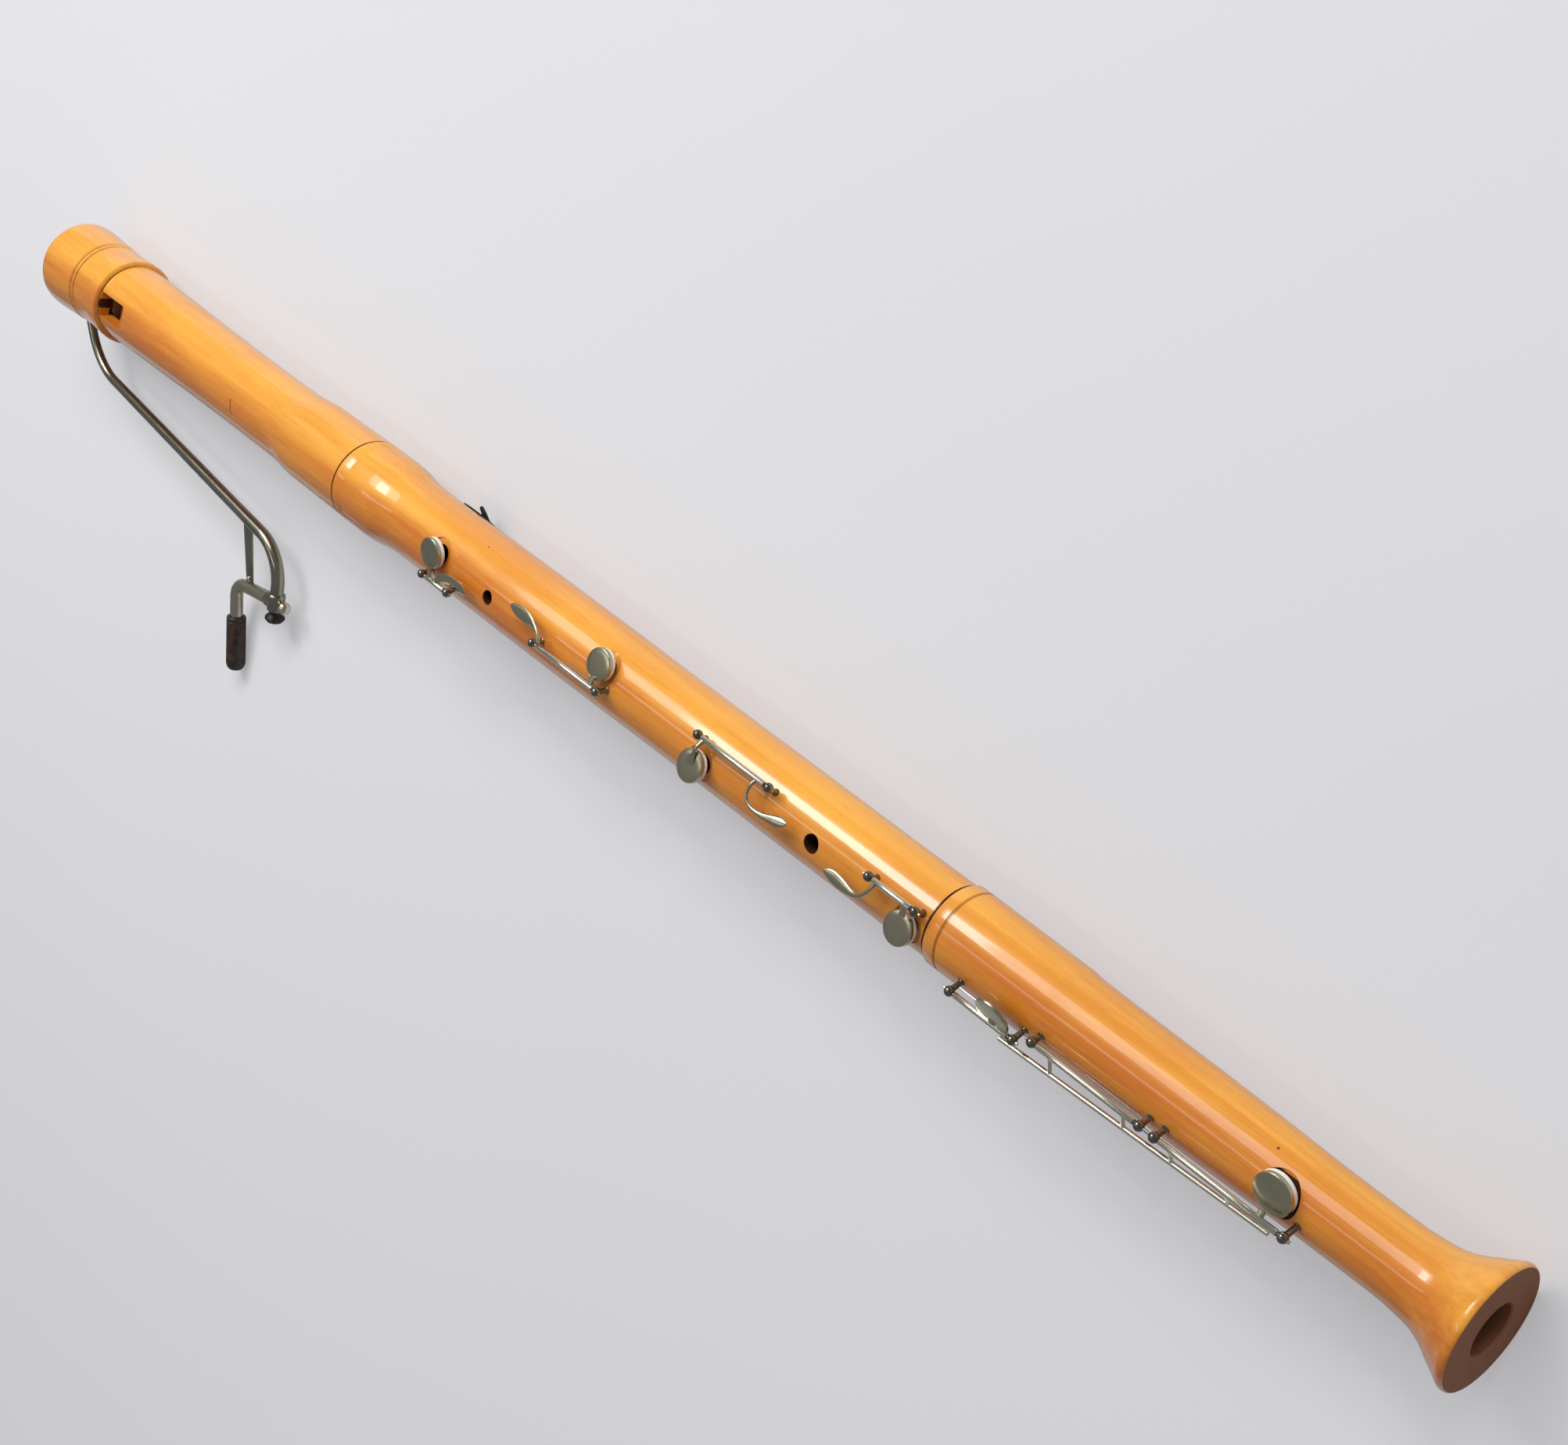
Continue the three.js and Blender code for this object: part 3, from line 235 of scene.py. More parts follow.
def in_hole(place, x, angle, radius):
    """Where a surface lies inside a hole bored towards the axis from that place."""
    spot = station(x, angle)
    values = {0: place, 1: spot.translation, 2: Vector(spot.to_euler())}
    along, across, out = place.node("ShaderNodeMapping", {"vector_type": "TEXTURE"}, values).apart()
    above_axis = 4 * mm
    return (along * along + across * across < (radius * mm) ** 2) * (out > above_axis)


def near(place, x, angle, radius, reach):
    """Where a surface lies within reach of one point."""
    spot = station(x, angle, radius).translation
    settings = {"operation": "DISTANCE"}
    return place.node("ShaderNodeVectorMath", settings, {0: place, 1: spot}, "Value") < reach * mm


pale_wood = (0.84, 0.385, 0.044)
deep_wood = (0.6, 0.165, 0.014)
bare_wood = (0.33, 0.125, 0.05)
dark_wood = (0.045, 0.015, 0.006)
# In millimetres from the bell: how far the bare wood goes on its face and in its bore, and where
# the cap closes the bore. The last value is the bore's widest radius.
face_depth, bare_bore, cap_floor, widest_bore = 0.12, 30, 948, 13.6


def lacquered_wood(name, shade_rings, holes, marks=()):
    """Honey-stained wood under gloss lacquer, with painted shade in its bore, holes and rings, and
    on the side away from the lamps. Each ring cut in it is (start, end, share of painted shade)."""
    finish, place = new_finish(name)
    grain = place.scaled(7, 140, 140).noise(1, 5, 0.62, 0.5)
    cloud = place.scaled(9, 42, 42).noise(1, 3, 0.5)
    streak = place.scaled(4, 520, 520).noise(1, 3, 0.6)
    fleck = place.scaled(130, 1500, 1500).noise(1, 2, 0.5)
    pore = place.scaled(60, 1400, 1400).noise(1, 2, 0.6).ease(0.64, 0.74) * 0.3
    figure = (grain * 0.42 + cloud * 0.5 + streak * 0.22 + fleck * 0.1).ease(0.5, 0.76)
    x, y, z = place.apart()
    along = (x - foot_low.x) * (1 / mm)
    across, up = y - axis_y, z - axis_z
    # Painted shade: the wood is darker on the side away from the lamps.
    painted_shade_side = across.ease(-12.5 * mm, -3 * mm)
    wood = (figure * 0.55 + painted_shade_side * 0.5).mix(pale_wood, deep_wood)
    wood = pore.mix(wood, tuple(0.5 * tone for tone in deep_wood))
    inside = across * across + up * up < (widest_bore * mm) ** 2
    at_bell = along < face_depth
    bare = at_bell.math("MAXIMUM", at_bell, inside * (along < bare_bore))
    bare_shade = tuple(0.6 * tone for tone in bare_wood)
    bare_tone = place.scaled(1, 380, 380).noise(1, 4, 0.65).mix(bare_shade, bare_wood)
    # Painted shade: the bore darkens with depth, and the rings and holes are painted dark.
    shaded = inside * along.ease(0.6, 14) * (along < cap_floor)
    for start, end, share in shade_rings:
        shaded = shaded.math("MAXIMUM", shaded, (along > start) * (along < end) * share)
    for x_place, angle, radius in holes:
        shaded = shaded.math("MAXIMUM", shaded, in_hole(place, x_place, angle, radius + 0.2))
    tone = bare.mix(wood, bare_tone)
    for mark in marks:
        tone = (near(place, *mark) * 0.8).mix(tone, dark_wood)
    coat_with(finish, place, {
        "Base Color": shaded.mix(tone, dark_wood),
        "Roughness": bare * 0.3 + (cloud * 0.12 + 0.26),
        "Specular IOR Level": 0.35,
        "Coat Weight": (1 - shaded) * (1 - bare) * 0.9,
        "Coat Roughness": 0.06,
        "Coat IOR": 1.5,
        "Normal": (grain + fleck * 0.4).bump(0.1, 0.1 * mm),
    })
    return finish


# Outlines are (distance from the bell, radius) in millimetres.
foot_outline = [
    (3.2, 24.0), (5.5, 22.6), (9.9, 20.2), (14.7, 17.5), (19.6, 15.6), (24.4, 14.7), (34, 13.9),
    (44, 13.85), (70, 14.15), (91, 14.8), (125, 15.5), (160, 16.0), (174, 16.3),
]
foot_shoulder = [(179, 16.42), (182.5, 16.75), (184.6, 16.98), (186, 17.02)]
foot_upper = [(191, 17.05), (215, 17.35), (235.4, 17.55)]
foot_surface = eased(foot_outline) + foot_shoulder + foot_upper
bell_rim = [(0, 23.5), (0.25, 23.9), (0.8, 24.25), (1.6, 24.38), (2.4, 24.3)]
foot_collar = [(235.7, 17.2), (236.5, 17.2), (236.8, 17.58), (241.9, 17.58), (242.3, 17.35), (242.4, 17.0)]
foot_bore = [(242.4, 13.95), (212.4, 13.95), (212.4, 9.8), (68, 9.3), (0.6, 10.2), (0, 10.6)]


def turned_wood(name, outside, inside, steps=144):
    """A wooden tube from its outside and its bore, both as (distance, radius)."""
    bm = bmesh.new()
    profile = [(radius, x) for x, radius in outside + inside]
    spun(bm, profile, station(0) @ along_body, steps, closed=True)
    return object_from(name, bm)


def drill(bm, x, angle, radius, depth, surface, softening=0.5):
    """A round cutter that goes in from outside, with its mouth eased at the surface."""
    profile = [(0, depth), (radius, depth), (radius, surface - softening),
               (radius + softening * 0.35, surface - softening * 0.2),
               (radius + softening * 2, surface + softening), (radius + softening * 2, surface + 6),
               (0, surface + 6)]
    spun(bm, profile, station(x, angle), 32)


def mill_seat(bm, outline, x, angle, cup_radius, hole):
    """The flat seat of a pad and the tone hole in it. Gives the seat's distance from the axis."""
    across = cup_radius + 0.6
    floor = math.sqrt(radius_at(outline, x) ** 2 - across**2)
    spun(bm, [(0, 4), (hole, 4), (hole, floor), (across, floor), (across, floor + 12), (0, floor + 12)],
         station(x, angle), 48)
    return floor


# Each cup: distance from the bell, angle, the cup's radius and the radius of the hole under it.
foot_cup = (76.48, -2, 8, 5.2)
knot = (85, -53, 14.6, 0.55)
# Painted shade in the groove, at the seam and in the hole under the big cup.
foot_wood = lacquered_wood("foot_lacquered_wood", [(235.65, 236.55, 0.5), (242.1, 243, 1)],
                           [(*foot_cup[:2], foot_cup[3])], [knot])
foot = turned_wood("turned_foot_joint", bell_rim + foot_surface + foot_collar, foot_bore)
cutters = bmesh.new()
foot_seat = mill_seat(cutters, foot_surface, *foot_cup)
carve(foot, cutters)
fit(foot, foot_wood, "foot_body", "wood", "foot_joint")


# Middle joint
# A turned tube of the same wood with a tenon at each end. It has two open finger holes, the thumb
# hole on its back, and four keyed holes, each in a flat milled seat.

middle_outline = [
    (243.2, 16.55), (278, 16.6), (330, 16.95), (410, 17.4), (453, 17.9), (528, 18.28), (597, 18.3),
]
middle_shoulder = [
    (606, 18.42), (612, 18.75), (617, 19.35), (622, 20.2), (627, 20.8), (632, 20.98), (643.8, 21.0),
]
middle_surface = eased(middle_outline, 8) + middle_shoulder
middle_start = [(212.9, 13.0), (213.5, 13.6), (242.7, 13.6), (242.7, 16.2)]
middle_end = [(644.1, 20.8), (644.8, 20.8), (645.2, 21.0), (651.2, 21.0), (651.6, 20.7), (651.7, 16.4),
              (684.6, 16.4), (685.2, 15.8)]
middle_bore = [(685.2, 12.9), (212.9, 9.8)]
middle = turned_wood("turned_middle_joint", middle_start + middle_surface + middle_end, middle_bore)
finger_holes = [(526.14, 0, 3.1), (307.53, 0, 3.8), (596.89, 180, 3.3)]
key_cups = {
    "key_1": (566.01, -8.5, 7.2, 4.5), "key_3": (443.93, -23, 7.2, 4.5),
    "key_4": (375.83, 7, 7.2, 4.5), "key_6": (252.31, 10.5, 7, 4.2),
}
cutters = bmesh.new()
for x, angle, radius in finger_holes:
    drill(cutters, x, angle, radius, 4, radius_at(middle_surface, x))
key_seats = {name: mill_seat(cutters, middle_surface, *cup) for name, cup in key_cups.items()}
carve(middle, cutters)
cup_holes = [(x, angle, hole) for x, angle, _, hole in key_cups.values()]
dark_fleck = (544, -60, 18.3, 0.5)
# Painted shade at both seams, in the finger holes and in the holes under the cups.
middle_wood = lacquered_wood("middle_lacquered_wood", [(242.1, 243.7, 1), (651.35, 652.3, 1)],
                             finger_holes + cup_holes, [dark_fleck])
fit(middle, middle_wood, "middle_body", "wood", "middle_joint")


# Head joint
# A turned tube that swells over the middle joint's tenon. The window is cut through its wall below
# the cap, with a ramp down to the sharp edge that splits the air.

head_outline = [
    (652.6, 21.0), (681, 20.9), (694, 20.85), (702, 20.7), (707, 20.2), (712, 19.6), (718, 19.3),
    (730, 19.2), (747, 19.2), (798, 19.6), (838, 20.3), (879, 21.0), (889.2, 21.1),
]
head_start = [(652, 16.75), (652, 20.6)]
head_end = [(889.7, 19.3), (927.1, 19.3), (927.7, 18.7)]
head_bore = [(927.7, 13.2), (686, 13.2), (686, 16.75)]
head = turned_wood("turned_head_joint", head_start + eased(head_outline, 6) + head_end, head_bore)
edge_x, block_x, window_half = 877.7, 888.7, 6.5
ramp_start, edge_radius, roof_radius, windway_length = 863.7, 13.9, 14.6, 42
cutters = bmesh.new()
ramp = [(ramp_start, 21.0), (edge_x, edge_radius), (edge_x, 0), (block_x, 0), (block_x, roof_radius),
        (block_x, 30), (ramp_start, 30)]
side = [cutters.verts.new(station(x, 0, radius) @ Vector((0, -window_half * mm, 0))) for x, radius in ramp]
face = cutters.faces.new(side)
pulled = bmesh.ops.extrude_face_region(cutters, geom=[face])["geom"]
far_side = [item for item in pulled if isinstance(item, bmesh.types.BMVert)]
bmesh.ops.translate(cutters, verts=far_side, vec=(0, 2 * window_half * mm, 0))
carve(head, cutters)
cutters = bmesh.new()
slot = bmesh.ops.create_cube(cutters, size=1)["verts"]
bmesh.ops.scale(cutters, verts=slot, vec=(windway_length * mm, 2 * window_half * mm, roof_radius * mm))
windway = station(block_x + windway_length / 2, 0, roof_radius / 2)
bmesh.ops.transform(cutters, verts=slot, matrix=windway)
carve(head, cutters)
crack = [(751.8 - 0.1 * step + 0.3 * math.sin(step), 2 * step - 3, 19.2, 0.45) for step in range(12)]
# Painted shade at both seams and inside the window, from its edge to the block.
in_window = (883.6, 0, 5.5)
head_wood = lacquered_wood("head_lacquered_wood", [(651.35, 652.3, 1), (889.2, 890.3, 1)],
                           [in_window], crack)
fit(head, head_wood, "head_body", "wood", "head_joint")


# Windway block and cork rings
# The block is plain cedar that floors the windway inside the head. The cork rings seal the
# tenons and are hidden in their sockets.

cedar, place = new_finish("cedar_block")
rings = place.scaled(40, 600, 600).noise(1, 4, 0.6)
coat_with(cedar, place, {
    "Base Color": rings.mix((0.3, 0.13, 0.055), (0.5, 0.25, 0.12)),
    "Roughness": 0.75,
    "Normal": rings.bump(0.3, 0.1 * mm),
})
cork, place = new_finish("waxed_cork")
crumb = place.noise(900, 4, 0.7)
coat_with(cork, place, {
    "Base Color": crumb.ease(0.4, 0.65).mix((0.42, 0.25, 0.12), (0.6, 0.4, 0.22)),
    "Roughness": crumb * 0.2 + 0.7,
    "Normal": crumb.bump(0.5, 0.2 * mm),
})


def repaint(finish, *names):
    """Gives plain solids that keep their shape a better finish."""
    for name in names:
        node = frame["nodes"][name]
        node.data.materials.clear()
        node.data.materials.append(finish)


repaint(cedar, "windway_block")
repaint(cork, "foot_tenon_cork", "head_tenon_cork", "cap_tenon_cork")


# Head cap
# A turned cup that closes the top of the instrument. Two fine grooves run round it, and the crook
# goes in through a slanting hole in its side.

cap_outline = [(891, 23.3), (897, 23.2), (907, 22.6), (915.0, 22.86)]
cap_ring = [(916.9, 22.9), (918.2, 22.95)]
cap_crown = [(920.1, 23.1), (929, 23.7), (940, 24.3), (945, 24.39), (949, 24.1), (951.2, 22.9)]
cap_rim = [(890, 21.0), (890.12, 21.9), (890.45, 22.7)]
cap_end = [(951.9, 21.8), (952.15, 20.2), (952.2, 0)]
first_groove = [(915.6, 22.4), (916.3, 22.4)]
second_groove = [(918.8, 22.5), (919.5, 22.5)]
cap_outside = (cap_rim + eased(cap_outline) + first_groove + cap_ring + second_groove
               + eased(cap_crown) + cap_end)
cap_inside = [(947.2, 0), (947.2, 19.65), (890.6, 19.65), (890, 20.1)]
bm = bmesh.new()
spun(bm, [(radius, x) for x, radius in cap_outside + cap_inside], station(0) @ along_body, 144)
cap = object_from("turned_head_cap", bm)
stopper_pull = next(joint for joint in frame["joints"] if joint["name"] == "drain_stopper_pull")
stopper_axis = Vector(stopper_pull["axis"])
crook_angle = math.degrees(math.atan2(stopper_axis.y, stopper_axis.z))
socket_tilt, socket_x, socket_r = -30, 941, 21.5


def crook_place(x, r, tilt=0):
    """A place in the crook's plane, with +Z outwards and tilted towards the cap."""
    return station(x, crook_angle, r) @ Matrix.Rotation(math.radians(tilt), 4, "Y")


cutters = bmesh.new()
spun(cutters, [(0, -7), (4.9, -7), (4.9, 7), (0, 7)], crook_place(socket_x, socket_r, socket_tilt), 40)
carve(cap, cutters)
# Painted shade in the two grooves.
cap_wood = lacquered_wood("cap_lacquered_wood",
                          [(915.55, 916.4, 0.75), (918.75, 919.55, 0.75)], [])
fit(cap, cap_wood, "cap_body", "wood", "head_cap")


# Crook
# A long nickel-silver pipe that carries the player's breath. It swivels in a sleeve in the cap,
# widens as it runs down beside the head, and bends out to the drain elbow.

def nickel_silver(name, color, roughness, tarnish):
    """Worn nickel silver: polished, with faint dull clouds and hairline scratches."""
    finish, place = new_finish(name)
    dull = place.noise(60, 3, 0.55).ease(0.42, 0.7)
    scratch = place.scaled(300, 2200, 2200).noise(1, 2, 0.5)
    coat_with(finish, place, {
        "Base Color": (dull * tarnish).mix(color, tuple(0.45 * tone for tone in color)),
        "Metallic": 1.0,
        "Roughness": dull * 0.1 + scratch * 0.06 + roughness,
        "Normal": scratch.bump(0.008, 0.02 * mm),
    })
    return finish


def bent_line(corners, bends, steps=14):
    """Points along straight runs joined by round bends, from corners of (x, r)."""
    line = [Vector(corners[0])]
    for i, bend in enumerate(bends):
        corner = Vector(corners[i + 1])
        before = (Vector(corners[i]) - corner).normalized()
        after = (Vector(corners[i + 2]) - corner).normalized()
        half = before.angle(after) / 2
        centre = corner + (before + after).normalized() * bend / math.sin(half)
        start = corner + before * bend / math.tan(half) - centre
        sweep = math.pi - 2 * half
        turn = 1 if before.cross(after) < 0 else -1
        for step in range(steps + 1):
            line.append(centre + Matrix.Rotation(turn * sweep * step / steps, 2) @ start)
    line.append(Vector(corners[-1]))
    return line


def pipe(name, line, first, last, sides=7):
    """A round pipe along (x, r) points in the crook's plane. Its radius goes from first to last."""
    curve = bpy.data.curves.new(name, "CURVE")
    curve.dimensions = "3D"
    curve.bevel_depth = mm
    curve.bevel_resolution = sides
    curve.use_fill_caps = True
    spline = curve.splines.new("POLY")
    spline.points.add(len(line) - 1)
    total = sum((b - a).length for a, b in zip(line, line[1:]))
    travelled = 0
    for i, point in enumerate(line):
        travelled += (point - line[i - 1]).length if i else 0
        spline.points[i].co = (*(crook_place(point.x, point.y) @ Vector((0, 0, 0))), 1)
        spline.points[i].radius = first + (last - first) * travelled / total
    drawn = bpy.data.objects.new(name, curve)
    bpy.context.scene.collection.objects.link(drawn)
    graph = bpy.context.evaluated_depsgraph_get()
    mesh = bpy.data.meshes.new_from_object(drawn.evaluated_get(graph))
    bpy.data.objects.remove(drawn)
    piece = bpy.data.objects.new(name, mesh)
    bpy.context.scene.collection.objects.link(piece)
    return piece


crook_metal = nickel_silver("crook_nickel_silver", (0.4, 0.38, 0.3), 0.15, 0.6)
drop_x, elbow_r = 723.5, 100
# The long run passes this point, at this slope.
run_x, run_r = 877, 54.9
into_socket = 4
run_slope = math.tan(math.radians(6.2))
socket_slope = math.tan(math.radians(socket_tilt))
upper_r = ((run_x + run_r / run_slope - socket_x + socket_r * socket_slope)
           / (socket_slope + 1 / run_slope))
upper_corner = (socket_x + (upper_r - socket_r) * socket_slope, upper_r)
lower_corner = (drop_x, run_r + (run_x - drop_x) * run_slope)
tube_start = (socket_x - into_socket * math.sin(math.radians(socket_tilt)),
              socket_r - into_socket * math.cos(math.radians(socket_tilt)))
crook_line = bent_line([tube_start, upper_corner, lower_corner, (drop_x, elbow_r - 2.6)], [35, 22])
crook = pipe("crook_pipe", crook_line, 2.4, 3.5)
fit(crook, crook_metal, "crook_body", "nickel_silver", "crook_tube")
repaint(crook_metal, "crook_socket")


# Drain elbow, its ball and the mouth pipe
# The elbow joins the crook to the mouth pipe. A bright ball finishes its side, and the mouth pipe
# bends from it up to the mouthpiece.

bright_metal = nickel_silver("bright_nickel_silver", (0.78, 0.73, 0.56), 0.12, 0.25)
satin_metal = nickel_silver("satin_nickel_silver", (0.6, 0.56, 0.43), 0.22, 0.4)
branch_tilt = 79.5
branch = Vector((math.sin(math.radians(branch_tilt)), math.cos(math.radians(branch_tilt))))
mouth_tilt = -6.5
mouth_way = Vector((math.sin(math.radians(mouth_tilt)), math.cos(math.radians(mouth_tilt))))
elbow_centre = Vector((drop_x, elbow_r))
mouth_corner = elbow_centre + branch * (763 - drop_x) / branch.x
bm = bmesh.new()
spun(bm, [(0, -4.8), (3.9, -4.8), (4.35, -4.4), (4.6, -3.6), (4.6, 3.9), (4.3, 4.5), (3.8, 4.8), (0, 4.8)],
     crook_place(drop_x, elbow_r), 32)
spun(bm, [(0, 0), (4.1, 0), (4.2, 6.4), (4.1, 7.0), (3.7, 7.5), (0, 7.5)],
     crook_place(drop_x, elbow_r, branch_tilt), 32)
fit(object_from("elbow_fitting", bm), crook_metal, "crook_body", "nickel_silver", "drain_elbow")

bm = bmesh.new()
ball_r, ball_x = 3.4, drop_x - 7.9
ball_profile = [(ball_r * math.sin(math.pi * i / 16), -ball_r * math.cos(math.pi * i / 16))
                for i in range(3, 16)]
spun(bm, [(0, -3.0), (1.6, -3.0), *ball_profile, (0, ball_r)], crook_place(ball_x, elbow_r, -90), 32)
fit(object_from("elbow_finial", bm), bright_metal, "crook_body", "nickel_silver", "elbow_ball")

mouth_r = 3.45
mouth_ends = elbow_centre + branch * 4.5, mouth_corner + mouth_way * 27.5
mouth_line = bent_line([mouth_ends[0], mouth_corner, mouth_ends[1]], [8.5])
mouth_pipe = pipe("bent_mouth_pipe", mouth_line, mouth_r, mouth_r)
fit(mouth_pipe, satin_metal, "crook_body", "nickel_silver", "mouth_pipe")


# Drain stopper
# A dark flared knob, turned from metal, on a plug that is pushed into the elbow. It pulls out to
# let the water out.

dark_metal, place = new_finish("darkened_metal")
worn = place.noise(500, 3, 0.6)
coat_with(dark_metal, place, {
    "Base Color": worn.ease(0.5, 0.75).mix((0.03, 0.027, 0.025), (0.12, 0.11, 0.1)),
    "Metallic": 0.7,
    "Roughness": worn * 0.25 + 0.25,
})
bm = bmesh.new()
spun(bm, [(0, -2), (1.9, -2), (1.9, 0), (2.9, 0), (3.0, 0.9), (3.7, 2.0), (4.9, 3.3), (5.2, 3.8),
          (5.2, 4.5), (4.9, 4.9), (4.0, 6.0), (2.6, 6.8), (1.2, 7.08), (0, 7.1)],
     crook_place(drop_x, elbow_r + 5.1), 32)
fit(object_from("stopper_knob", bm), dark_metal, "stopper_body", "dark_metal", "drain_stopper")


# Mouthpiece
# A tube of dark brown hard rubber, pushed over the end of the mouth pipe. It has a shallow groove
# near its foot and a rounded tip.

ebonite, place = new_finish("dark_hard_rubber")
mottle = place.noise(220, 4, 0.6)
coat_with(ebonite, place, {
    "Base Color": mottle.ease(0.35, 0.7).mix((0.02, 0.011, 0.008), (0.055, 0.03, 0.02)),
    "Roughness": mottle * 0.2 + 0.32,
    "Normal": place.noise(1500, 2, 0.5).bump(0.05, 0.02 * mm),
})
bm = bmesh.new()
rubber_r, pipe_fit = 5.15, 3.75
tip = [(rubber_r - 2.9 * (1 - math.cos(turn)), 26 + 4.6 * math.sin(turn)) for turn in
       (math.pi / 2 * step / 9 for step in range(10))]
spun(bm, [(pipe_fit, 0), (4.8, 0), (5.1, 0.4), (rubber_r, 1.2), (rubber_r, 1.9), (4.95, 2.1), (4.95, 2.5),
          (rubber_r, 2.7), *tip, (1.7, 30.1), (1.7, 8.3), (pipe_fit, 8.3)],
     crook_place(*(mouth_corner + mouth_way * 19.5), mouth_tilt), 40, closed=True)
fit(object_from("rubber_mouthpiece", bm), ebonite, "crook_body", "ebonite", "mouthpiece")


# Brace
# A flat strip of nickel silver between the crook and the mouth pipe, soldered to both, with one
# rivet near the pipe.

def onto_crook(x):
    """The point (x, r) on the middle line of the crook's long run."""
    return Vector((x, run_r + (run_x - x) * run_slope))


def onto_pipe(x):
    """The point (x, r) on the middle line of the mouth pipe."""
    return Vector((x, elbow_r + (x - drop_x) * branch.y / branch.x))


brace_top, brace_foot = onto_crook(757), onto_pipe(749.5)
brace_way = (brace_foot - brace_top).normalized()
brace_tilt = math.degrees(math.atan2(brace_way.x, brace_way.y))
brace_length = (brace_foot - brace_top).length - 5.6
brace_middle = brace_top + brace_way * (brace_length / 2 + 2.7)
bm = bmesh.new()
strip = bmesh.ops.create_cube(bm, size=1)["verts"]
bmesh.ops.scale(bm, verts=strip, vec=(5.6 * mm, 1.3 * mm, brace_length * mm))
crook_end = [vert for vert in strip if vert.co.z < 0]
bmesh.ops.scale(bm, verts=crook_end, vec=(1.45, 1, 1))
bmesh.ops.bevel(bm, geom=bm.edges[:], offset=0.35 * mm, segments=3, profile=0.5, affect="EDGES",
                material=-1)
bmesh.ops.transform(bm, verts=bm.verts, matrix=crook_place(*brace_middle, brace_tilt))
fit(object_from("brace_strip", bm), crook_metal, "crook_body", "nickel_silver", "crook_brace")
bm = bmesh.new()
rivet_spot = brace_foot - brace_way * 5.4
rivet_place = crook_place(*rivet_spot, brace_tilt) @ Matrix.Rotation(math.pi / 2, 4, "X")
spun(bm, [(0, 0.3), (1.5, 0.3), (1.5, 0.9), (1.35, 1.3), (1.0, 1.6), (0.5, 1.78), (0, 1.8)],
     rivet_place, 24)
fit(object_from("brace_rivet_head", bm), bright_metal, "crook_body", "nickel_silver", "brace_rivet")


# Sling plate, loop and screws
# An oval steel plate, bent to the wood, is held to the back of the middle joint by two sunk screws.
# It carries a fixed wire loop that leans towards the head. All of it is blackened by age.

steel = nickel_silver("dull_steel", (0.5, 0.5, 0.48), 0.22, 0.3)
sling_x, sling_angle, loop_x = 582.99, -140, 579.5
sling_radius = radius_at(middle_surface, sling_x) + 1.6


def follow(sections, steps=4):
    """A smooth run through sections, each a row of numbers."""
    rows = [Vector(section) for section in sections]
    line = []
    for i in range(len(rows) - 1):
        before, start = rows[max(i - 1, 0)], rows[i]
        end, after = rows[i + 1], rows[min(i + 2, len(rows) - 1)]
        for step in range(steps):
            t = step / steps
            square = 2 * before - 5 * start + 4 * end - after
            cube = 3 * start - before - 3 * end + after
            line.append(0.5 * (2 * start + (end - before) * t + square * t**2 + cube * t**3))
    return line + [rows[-1]]


def forge(bm, sections, frame_at, centre, sides=14):
    """A bar through sections of (x, y, z, half width, half thickness), in millimetres. Its flat side
    faces away from the line that runs along X at that height."""
    points = [Vector(section[:3]) for section in sections]
    loops = []
    for i, section in enumerate(sections):
        along = (points[min(i + 1, len(points) - 1)] - points[max(i - 1, 0)]).normalized()
        out = Vector((0, points[i].y, points[i].z - centre))
        flat = (out - along * out.dot(along)).normalized()
        turn = Matrix((flat.cross(along), flat, along)).transposed().to_4x4()
        size = Matrix.Diagonal((section[3], section[4], 1, 1))
        place = frame_at @ Matrix.Scale(mm, 4) @ Matrix.Translation(points[i]) @ turn @ size
        ends = i in (0, len(sections) - 1)
        ring = bmesh.ops.create_circle(bm, cap_ends=ends, radius=1, segments=sides, matrix=place)["verts"]
        loops.append([edge for edge in {edge for vert in ring for edge in vert.link_edges}
                      if all(end in ring for end in edge.verts)])
    for first, second in zip(loops, loops[1:]):
        bmesh.ops.bridge_loops(bm, edges=first + second)


blackened, place = new_finish("blackened_steel")
rubbed = place.noise(400, 3, 0.6)
coat_with(blackened, place, {
    "Base Color": rubbed.ease(0.5, 0.8).mix((0.012, 0.011, 0.011), (0.07, 0.065, 0.06)),
    "Metallic": 0.6,
    "Roughness": rubbed * 0.25 + 0.25,
})
bm = bmesh.new()
loop_r, leg, wire, lean, far_below = 3.2, 3.6, 0.95, 68, -40
arch = [(0, loop_r, 0, wire, wire)]
arch += [(0, loop_r * math.cos(turn), leg + loop_r * math.sin(turn), wire, wire)
         for turn in (math.pi * step / 16 for step in range(17))]
arch += [(0, -loop_r, 0, wire, wire)]
upright = station(loop_x, sling_angle, sling_radius + 0.1)
leaning = upright @ Matrix.Rotation(math.radians(lean), 4, "Y")
forge(bm, arch, leaning, far_below)
foot_bar = [(0, share * (loop_r + wire), -0.2, 1.1, 1.1) for share in (-1, -0.3, 0.3, 1)]
forge(bm, foot_bar, leaning, far_below)
fit(object_from("strap_loop", bm), blackened, "middle_body", "dark_metal", "sling_loop")
bm = bmesh.new()
oval_at = station(sling_x, sling_angle)
spun(bm, [(0, 15), (13.4, 15), (13.4, 24), (0, 24)], oval_at, 48)
narrowed = oval_at @ Matrix.Diagonal((1, 0.44, 1, 1)) @ oval_at.inverted()
bmesh.ops.transform(bm, verts=bm.verts, matrix=narrowed)
oval_plate = object_from("oval_strap_plate", bm)
cutters = bmesh.new()
plate_inside = sling_radius - 1.55
